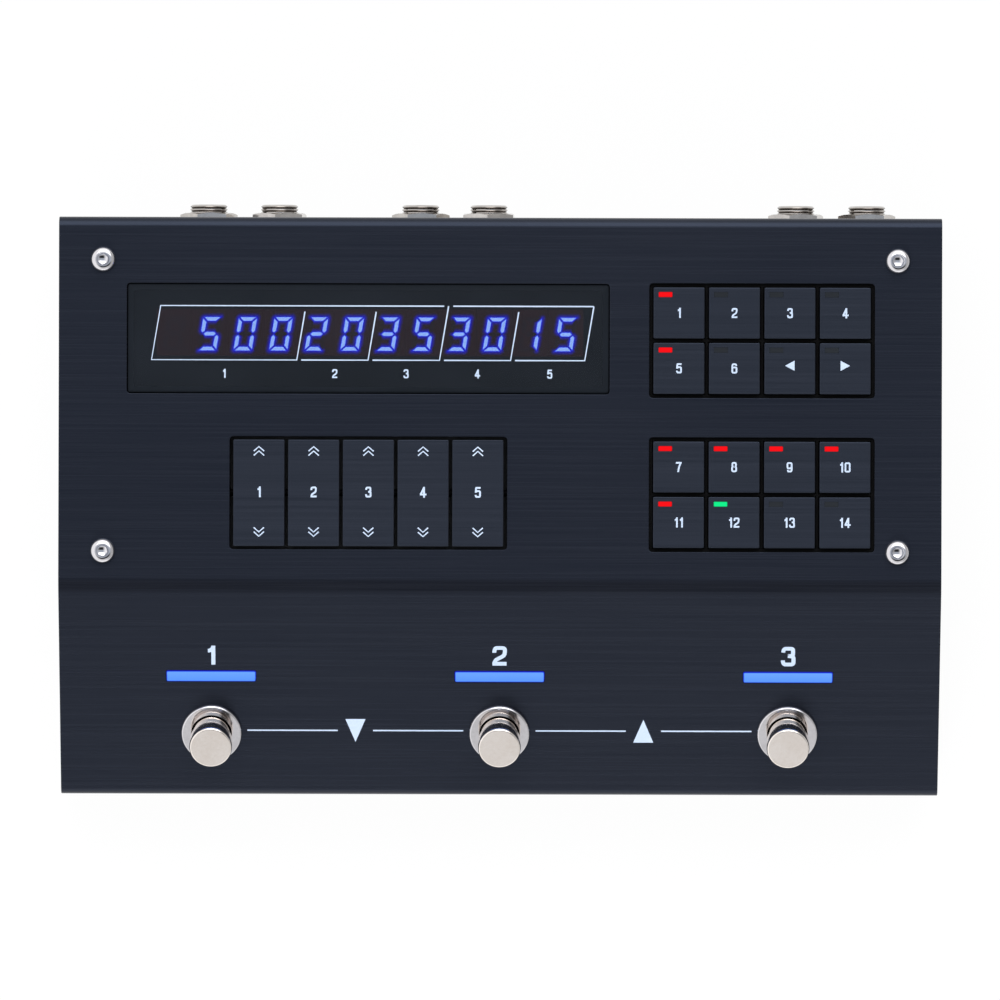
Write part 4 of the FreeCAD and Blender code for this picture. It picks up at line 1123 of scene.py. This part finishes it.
def pane():
    """The pane and its flange. Slot 0 is smoked, 1 the blacked flange and 2 the ground bevel."""
    flange_top = window_low.z + pane_flange
    rim = window_high.z - pane_bevel_drop
    mesh = bmesh.new()
    block(mesh, window_low, (window_high.x, window_high.y, flange_top))
    top = top_face(mesh)
    bmesh.ops.inset_region(mesh, faces=[top], thickness=window_flange + pane_play, use_even_offset=True)
    moved(mesh, bmesh.ops.extrude_face_region(mesh, geom=[top]), (0, 0, rim - flange_top))
    top = top_face(mesh)
    bmesh.ops.inset_region(mesh, faces=[top], thickness=pane_bevel, use_even_offset=True)
    for vert in top.verts:
        vert.co.z = window_high.z
    corners = [edge for edge in mesh.edges
               if len(set(round(vert.co.z, 3) for vert in edge.verts)) == 2
               and max(vert.co.z for vert in edge.verts) > rim - 0.1]
    bmesh.ops.bevel(mesh, geom=corners, offset=pane_corner, offset_type="OFFSET", segments=4,
                    profile=0.5, affect="EDGES", material=-1, clamp_overlap=True)
    bmesh.ops.recalc_face_normals(mesh, faces=mesh.faces)
    for face in mesh.faces:
        centre = face.calc_center_median().z
        if centre < rim:
            face.material_index = 0 if face.normal.z < -0.9 or centre > flange_top + 0.01 else 1
        elif centre < window_high.z - 0.01:
            face.material_index = 2
    return mesh


def drawn(strokes, width):
    """A printed mark: pen strokes of one width, as a thin film about z = 0.
    A line goes straight through its points, and a bend or a ring is pulled towards them."""
    curve = bpy.data.curves.new("pen", "CURVE")
    curve.dimensions = "3D"
    curve.bevel_depth = width / 2
    curve.bevel_resolution = 2
    curve.resolution_u = 6
    curve.use_fill_caps = True
    for kind, points in strokes:
        spline = curve.splines.new("POLY" if kind == "line" else "NURBS")
        spline.points.add(len(points) - 1)
        for knot, (x, y) in zip(spline.points, points):
            knot.co = (x, y, 0, 1)
        spline.use_cyclic_u = kind == "ring"
        if kind != "line":
            spline.order_u = 3
            spline.use_endpoint_u = kind == "bend"
    holder = bpy.data.objects.new("pen", curve)
    stand.collection.objects.link(holder)
    mesh = worked(holder)
    bpy.data.objects.remove(holder)
    bpy.data.curves.remove(curve)
    bmesh.ops.remove_doubles(mesh, verts=mesh.verts, dist=width * 0.001)
    bmesh.ops.scale(mesh, vec=(1, 1, print_film / width), verts=mesh.verts)
    bmesh.ops.recalc_face_normals(mesh, faces=mesh.faces)
    return mesh


pen_strokes = {
    "0": [("ring", [(0.5, 1), (1, 1), (1, 0.75), (1, 0.25), (1, 0), (0.5, 0), (0, 0), (0, 0.25),
                    (0, 0.75), (0, 1)])],
    "1": [("line", [(0.65, -0.1), (0.65, 1.1)]), ("bend", [(0.65, 1.04), (0.55, 0.8), (0.14, 0.78)])],
    "2": [("bend", [(0, 0.7), (0, 1), (0.5, 1), (1, 1), (1, 0.68), (0.9, 0.5), (0.45, 0.35),
                    (0.05, 0.2), (0, 0)]), ("line", [(-0.18, 0), (1.16, 0)])],
    "3": [("bend", [(0.02, 0.76), (0.05, 1), (0.5, 1), (0.95, 1), (0.95, 0.75), (0.95, 0.53),
                    (0.45, 0.53)]),
          ("bend", [(0.45, 0.53), (1, 0.53), (1, 0.27), (1, 0), (0.5, 0), (0, 0), (0, 0.26)])],
    "4": [("line", [(0.72, -0.1), (0.72, 1.1)]), ("line", [(-0.16, 0.25), (1.25, 0.25)]),
          ("line", [(0.7, 1.0), (-0.02, 0.25)])],
    "5": [("line", [(0.0, 1), (1.1, 1)]), ("line", [(0.14, 1.0), (0.04, 0.46)]),
          ("bend", [(0.05, 0.5), (0.2, 0.64), (0.5, 0.64), (1, 0.64), (1, 0.32), (1, 0), (0.5, 0),
                    (0.05, 0), (0, 0.22)])],
    "6": [("bend", [(0.95, 0.8), (0.92, 1), (0.5, 1), (0, 1), (0, 0.4), (0, 0), (0.5, 0), (1, 0),
                    (1, 0.32), (1, 0.62), (0.5, 0.62), (0.05, 0.62), (0, 0.35)])],
    "7": [("line", [(-0.16, 1), (1.18, 1)]), ("bend", [(1.0, 1.0), (0.55, 0.6), (0.38, -0.1)])],
    "8": [("ring", [(0.5, 1), (0.92, 1), (0.92, 0.54), (0.5, 0.54), (0.08, 0.54), (0.08, 1)]),
          ("ring", [(0.5, 0.54), (1, 0.54), (1, 0), (0.5, 0), (0, 0), (0, 0.54)])],
}
pen_strokes["9"] = [(kind, [(1 - x, 1 - y) for x, y in points]) for kind, points in pen_strokes["6"]]
narrow_figure = {"1": (0.2, 0.65)}


def number_print(text, height, figure_width=0.42, weight=0.168, gap=0.15):
    """Plain numerals about the origin. Widths, weights and gaps are shares of the height."""
    stroke = weight * height
    wide = figure_width * height
    tall = height - stroke
    pen_x = 0.0
    strokes = []
    for figure in text:
        left, right = narrow_figure.get(figure, (0.0, 1.0))
        for kind, points in pen_strokes[figure]:
            strokes.append((kind, [(pen_x + (x - left) * wide, (y - 0.5) * tall) for x, y in points]))
        pen_x += (right - left) * wide + stroke + gap * height
    half = (pen_x - gap * height - stroke) / 2
    return drawn([(kind, [(x - half, y) for x, y in points]) for kind, points in strokes], stroke)


field_top = 6.3
field_bottom = 21.35
field_edges = (9.35, 49.7, 69.5, 89.35, 109.1, 129.7)
field_gap = 1.25
short_edge = 1.6
number_drop = 25.1
field_number = 2.5
field_middles = (27.0, 57.75, 77.55, 97.35, 117.45)


def field_lines():
    """The frame of five slanted fields, open below the figures, and its division into two groups."""
    lean = math.tan(digit_slant)
    height = field_bottom - field_top
    first, *inner, last = field_edges
    group = inner[2]
    strokes = [("line", [(group - field_gap, -field_top), (first, -field_top),
                         (first - lean * height, -field_bottom),
                         (inner[0] - lean * height, -field_bottom),
                         (inner[0] - lean * short_edge, -field_top - short_edge)])]
    for left, right in zip(inner, inner[1:] + [last]):
        short = 0 if right in (group, last) else short_edge
        strokes.append(("line", [(left + field_gap - lean * height, -field_bottom),
                                 (right - lean * height, -field_bottom),
                                 (right - lean * short, -field_top - short)]))
    strokes.append(("line", [(group + field_gap, -field_top), (last, -field_top)]))
    return strokes


white_print = speckled("white_print", tone(180, 197, 220), tone(192, 207, 228), 0.6, 1500.0,
                       relief=0.05)
black_edge = speckled("black_edge", tone(2, 2, 3), tone(5, 5, 6), 0.7, 1800.0, gloss=0.05)
ground_edge = speckled("ground_edge", tone(26, 30, 35), tone(29, 33, 39), 0.6, 1800.0, gloss=0.03)
piece("smoked_pane", pane(), [smoked(), black_edge, ground_edge], "enclosure", "smoked_pane",
      "display_window", crease=12)
face_corner = Matrix.Translation((window_frame[0][0], window_frame[1][1], window_high.z))
marks = drawn(field_lines(), print_width)
bmesh.ops.transform(marks, matrix=face_corner, verts=marks.verts)
for number, x in enumerate(field_middles, 1):
    under = face_corner @ Matrix.Translation((x, -number_drop, 0))
    join(marks, number_print(str(number), field_number), under)
piece("pane_print", marks, [white_print], "enclosure", "smoked_pane")


# The square keys
# Sixteen hollow moulded caps, faced to match the cover, run in the pockets of one black frame behind
# the deck. Each has a small light window in its corner, and half of the lights are on.

key_edge = 0.35
top_edge = 0.28
key_wall = 1.3
post_radius = 1.6
light_size = (3.8, 1.4)
light_from_left = 1.45
light_from_top = 1.3
light_sink = 0.05
light_rim = 0.22
light_corner = 0.25
light_depth = 3.0
pocket_play = 0.03
key_number = 2.8
arrow_width = 2.604
arrow_height = 2.8
arrow_up = 0.8
key_low, key_high = span(key_names[0])
key_size = key_high.x - key_low.x - 2 * key_rim
key_legends = ["1", "2", "3", "4", "5", "6", "left", "right",
               "7", "8", "9", "10", "11", "12", "13", "14"]
lights = ["red", "", "", "", "red", "", "", "",
          "red", "red", "red", "red", "red", "green", "", ""]


def paint(mesh, index):
    for face in mesh.faces:
        face.material_index = index
    return mesh


def moulded_block(low, high, corner):
    """A block with rounded upright edges and a rounded edge round its top."""
    mesh = bmesh.new()
    block(mesh, low, high, corner, 3)
    top = [edge for edge in mesh.edges if min(vert.co.z for vert in edge.verts) > high[2] - 0.01]
    bmesh.ops.bevel(mesh, geom=top, offset=top_edge, offset_type="OFFSET", segments=3, profile=0.5,
                    affect="EDGES", material=-1)
    return mesh


def key_cap():
    """The hollow cap with its switch post and the pocket for its window."""
    half = key_size / 2
    mesh = moulded_block((-half, -half, key_low.z), (half, half, key_high.z), key_edge)
    inner = half - key_wall
    hollow = bmesh.new()
    block(hollow, (-inner, -inner, key_low.z - 1), (inner, inner, key_high.z - key_wall))
    pocket = bmesh.new()
    x, y = window_place()
    wide, tall = light_size[0] / 2 + pocket_play, light_size[1] / 2 + pocket_play
    block(pocket, (x - wide, y - tall, key_low.z - 2), (x + wide, y + tall, key_high.z + 1))
    mesh = cut(cut(mesh, hollow), pocket)
    rod(mesh, 0, 0, post_radius, key_low.z, key_high.z - key_wall, 24)
    return mesh


def window_place():
    """The middle of the light window, from the middle of the key."""
    return (-key_size / 2 + light_from_left + light_size[0] / 2,
            key_size / 2 - light_from_top - light_size[1] / 2)


def light_window():
    x, y = window_place()
    wide, tall = light_size[0] / 2, light_size[1] / 2
    mesh = bmesh.new()
    mesh.verts.layers.float.new("glow")
    block(mesh, (x - wide, y - tall, key_high.z - light_depth),
          (x + wide, y + tall, key_high.z - light_sink), light_corner, 3)
    glow_inside(mesh, top_face(mesh), light_rim)
    return mesh


def triangle(width, height, turn=0.0):
    """A printed triangle about the origin that points to the left, turned by so many degrees."""
    mesh = bmesh.new()
    corners = [(-width / 2, 0), (width / 2, -height / 2), (width / 2, height / 2)]
    face = mesh.faces.new([mesh.verts.new((x, y, -print_film / 2)) for x, y in corners])
    moved(mesh, bmesh.ops.extrude_face_region(mesh, geom=[face]), (0, 0, print_film))
    bmesh.ops.recalc_face_normals(mesh, faces=mesh.faces)
    bmesh.ops.rotate(mesh, matrix=Matrix.Rotation(math.radians(turn), 3, "Z"), verts=mesh.verts)
    return mesh


key_black = brushed("key_black", tone(26, 29, 35), tone(34, 37, 44), 0.33, 0.5)
window_lights = {
    "red": lit("red_window", tone(206, 0, 6), tone(255, 6, 14), 1.0),
    "green": lit("green_window", tone(0, 160, 96), tone(10, 244, 140), 1.0),
    "": speckled("dark_window", tone(26, 30, 35), tone(29, 33, 38), 0.5, 900.0, relief=0.05, gloss=0.15),
}
# The frame is coloured darker than the other black mouldings: painted shade in the gaps between the keys
# and the rockers.
frame_black_and_shade = speckled("frame_black_and_shade", tone(4, 4, 5), tone(8, 8, 9), 0.6, 2200.0, gloss=0.1)
finish(frame_black_and_shade, "key_frame", "rocker_frame")
for name, legend, light in zip(key_names + function_names, key_legends, lights):
    centre = middle(name)
    upright = Matrix.Translation((centre.x, centre.y, 0))
    printed = Matrix.Translation((centre.x, centre.y, key_high.z))
    cap = key_cap()
    bmesh.ops.transform(cap, matrix=upright, verts=cap.verts)
    join(cap, paint(light_window(), 1), upright)
    if legend in ("left", "right"):
        mark = triangle(arrow_width, arrow_height, 0 if legend == "left" else 180)
        printed = printed @ Matrix.Translation((0, arrow_up, 0))
    else:
        mark = number_print(legend, key_number)
    join(cap, paint(mark, 2), printed)
    piece(name + "_cap", cap, [key_black, window_lights[light], white_print], name, "key_plastic", name)


# The rocker keys
# Five long hollow rockers share one blackened rod, held in the lugs of their frame. Each end presses
# its own switch, and is marked with two chevrons, up or down.

rocker_skirt = 5.6
hub_radius = 2.4
axle_drop = 4.5
rocker_post = 11.0
rocker_number = 3.0
rocker_number_up = 0.25
chevron = (2.85, 1.25)
chevron_stroke = 0.36
chevron_apart = 1.2
chevron_ends = (11.6, -10.85)


def rocker_cap(low, high):
    """The hollow cap about the origin, with its hub and switch posts."""
    half = (high - low) / 2
    mesh = moulded_block((-half.x, -half.y, high.z - rocker_skirt), (half.x, half.y, high.z), key_edge)
    away = bmesh.new()
    block(away, (key_wall - half.x, key_wall - half.y, low.z - 1),
          (half.x - key_wall, half.y - key_wall, high.z - key_wall))
    mesh = cut(mesh, away)
    hub = bmesh.new()
    rod(hub, 0, 0, hub_radius, key_wall / 2 - half.x, half.x - key_wall / 2, 32)
    lying = Matrix.Rotation(math.pi / 2, 4, "Y")
    join(mesh, hub, Matrix.Translation((0, 0, deck - axle_drop)) @ lying)
    for side in (-1, 1):
        rod(mesh, 0, side * rocker_post, post_radius, low.z, high.z - key_wall, 24)
    return mesh


def chevrons(up):
    """Two open arrowheads, one above the other, that point up the key or down it."""
    wide, tall = chevron[0] / 2, chevron[1] / 2
    strokes = [("line", [(-wide, shift - up * tall), (0, shift + up * tall),
                         (wide, shift - up * tall)])
               for shift in (-chevron_apart / 2, chevron_apart / 2)]
    return drawn(strokes, chevron_stroke)


finish(speckled("blackened_rod", tone(10, 10, 11), tone(18, 18, 20), 0.5, 1300.0, 1.0), "rocker_axle")
for number, name in enumerate(rocker_names, 1):
    low, high = span(name)
    centre = (low + high) / 2
    cap = rocker_cap(low, high)
    bmesh.ops.transform(cap, matrix=Matrix.Translation((centre.x, centre.y, 0)), verts=cap.verts)
    printed = Matrix.Translation((centre.x, centre.y, high.z))
    join(cap, paint(number_print(str(number), rocker_number), 1),
         printed @ Matrix.Translation((0, rocker_number_up, 0)))
    for shift, up in zip(chevron_ends, (1, -1)):
        join(cap, paint(chevrons(up), 1), printed @ Matrix.Translation((0, shift, 0)))
    piece(name + "_cap", cap, [key_black, white_print], name, "key_plastic", name)


# The slope print
# Pale print on the coated slope: a number over each switch, and a line from switch to switch with a
# triangle in each half.

label_height = 5.9
label_figure_width = 0.5
label_weight = 0.19
label_down = 20.8
line_down = 43.6
line_width = 0.42
line_ends = ((10.1, 35.3), (45.15, 70.4))
triangle_x = 40.2
triangle_size = (6.97, 5.6)

slope_marks = bmesh.new()
for number, x in enumerate(switch_xs, 1):
    label = number_print(str(number), label_height, label_figure_width, label_weight)
    join(slope_marks, label, on_slope(x, label_down))
for side in (-1, 1):
    rule = drawn([("line", [(side * start, 0), (side * end, 0)]) for start, end in line_ends],
                 line_width)
    join(slope_marks, rule, on_slope(0, line_down))
    arrow = triangle(*triangle_size, -90 * side)
    join(slope_marks, arrow, on_slope(side * triangle_x, line_down))
piece("slope_print", slope_marks, [white_print], "enclosure", "brushed_cover")


# The floor plate, feet and screws
# A coated steel plate closes the floor, held by ten black pan head screws. Four moulded rubber feet
# are screwed to it, and four bright button head screws hold the deck to the side panels.

foot_radius = 9.0
foot_height = cover_low.z - 1.2
foot_edge = 1.2
foot_hole = 3.0
foot_hole_edge = 0.2
foot_screw_hole = 1.7
foot_inset = 20.0
head_flat = 1.9
head_height = 2.2
head_shoulder = 0.4
socket_width = 2.5
socket_depth = 0.9
socket_point = 0.62
socket_rim = 1.86
shank_radius = 2.0
shank_length = 7.0


def rubber_foot():
    """A round foot with a stepped hole for its screw and a rounded lower edge."""
    outline = [(foot_screw_hole, foot_height), (foot_screw_hole, foot_height / 2),
               (foot_hole, foot_height / 2), (foot_hole, foot_hole_edge),
               (foot_hole + foot_hole_edge, 0), (foot_radius - foot_edge, 0)]
    outline += reversed([(radius, foot_edge - height) for radius, height in
                         round_over(foot_radius, 0, foot_radius - foot_edge, foot_edge)])
    outline += [(foot_radius, foot_height - foot_hole_edge),
                (foot_radius - foot_hole_edge, foot_height), (foot_screw_hole, foot_height)]
    return lathe(outline)


def button_screw():
    """A button head above its seat. The hexagon socket has an eased rim and a pointed floor."""
    reach = socket_width / math.sqrt(3)
    outline = [(0, head_height - socket_rim + reach), (reach, head_height - socket_rim + reach),
               (socket_rim, head_height)]
    outline += reversed(round_over(screw_head_radius, head_shoulder, head_flat, head_height, 10))
    outline += [(screw_head_radius, 0), (shank_radius, 0), (shank_radius, -shank_length),
                (0, -shank_length)]
    gone = bmesh.new()
    bmesh.ops.create_cone(gone, cap_ends=True, segments=6, radius1=reach, radius2=reach, depth=4,
                          matrix=Matrix.Translation((0, 0, head_height - socket_depth + 2)))
    floor_face = min(gone.faces, key=lambda face: face.calc_center_median().z)
    bmesh.ops.poke(gone, faces=[floor_face], offset=socket_point)
    return cut(lathe(outline), gone)


screw_x = deck_screws_high.x - screw_head_radius
screw_ys = (deck_screws_low.y + screw_head_radius, deck_screws_high.y - screw_head_radius)
screw_turns = {-1: (0.3, 0.9), 1: (0.1, 0.6)}
screw_places = [Matrix.Translation((side * screw_x, y, deck)) @ Matrix.Rotation(turn, 4, "Z")
                for side, turns in screw_turns.items() for y, turn in zip(screw_ys, turns)]
piece("button_screws", repeated(button_screw(), screw_places), [ring_nickel], "enclosure",
      "bright_nickel", "deck_screws", crease=30)
foot_places = [Matrix.Translation((side * (cover_high.x - foot_inset), y, 0)) for side in (-1, 1)
               for y in (cover_low.y + foot_inset, cover_high.y - foot_inset)]
rubber = speckled("rubber", tone(24, 24, 25), tone(34, 34, 35), 0.8, 1500.0, relief=0.6)
piece("feet", repeated(rubber_foot(), foot_places), [rubber], "enclosure", "foot_rubber", "rubber_feet")
finish(speckled("floor_coat", tone(27, 28, 31), tone(36, 37, 41), 0.6, 1700.0, relief=0.5),
       "bottom_plate")
finish(speckled("black_steel", tone(40, 40, 43), tone(58, 58, 62), 0.4, 1500.0, 1.0),
       "bottom_screws", "foot_screws")
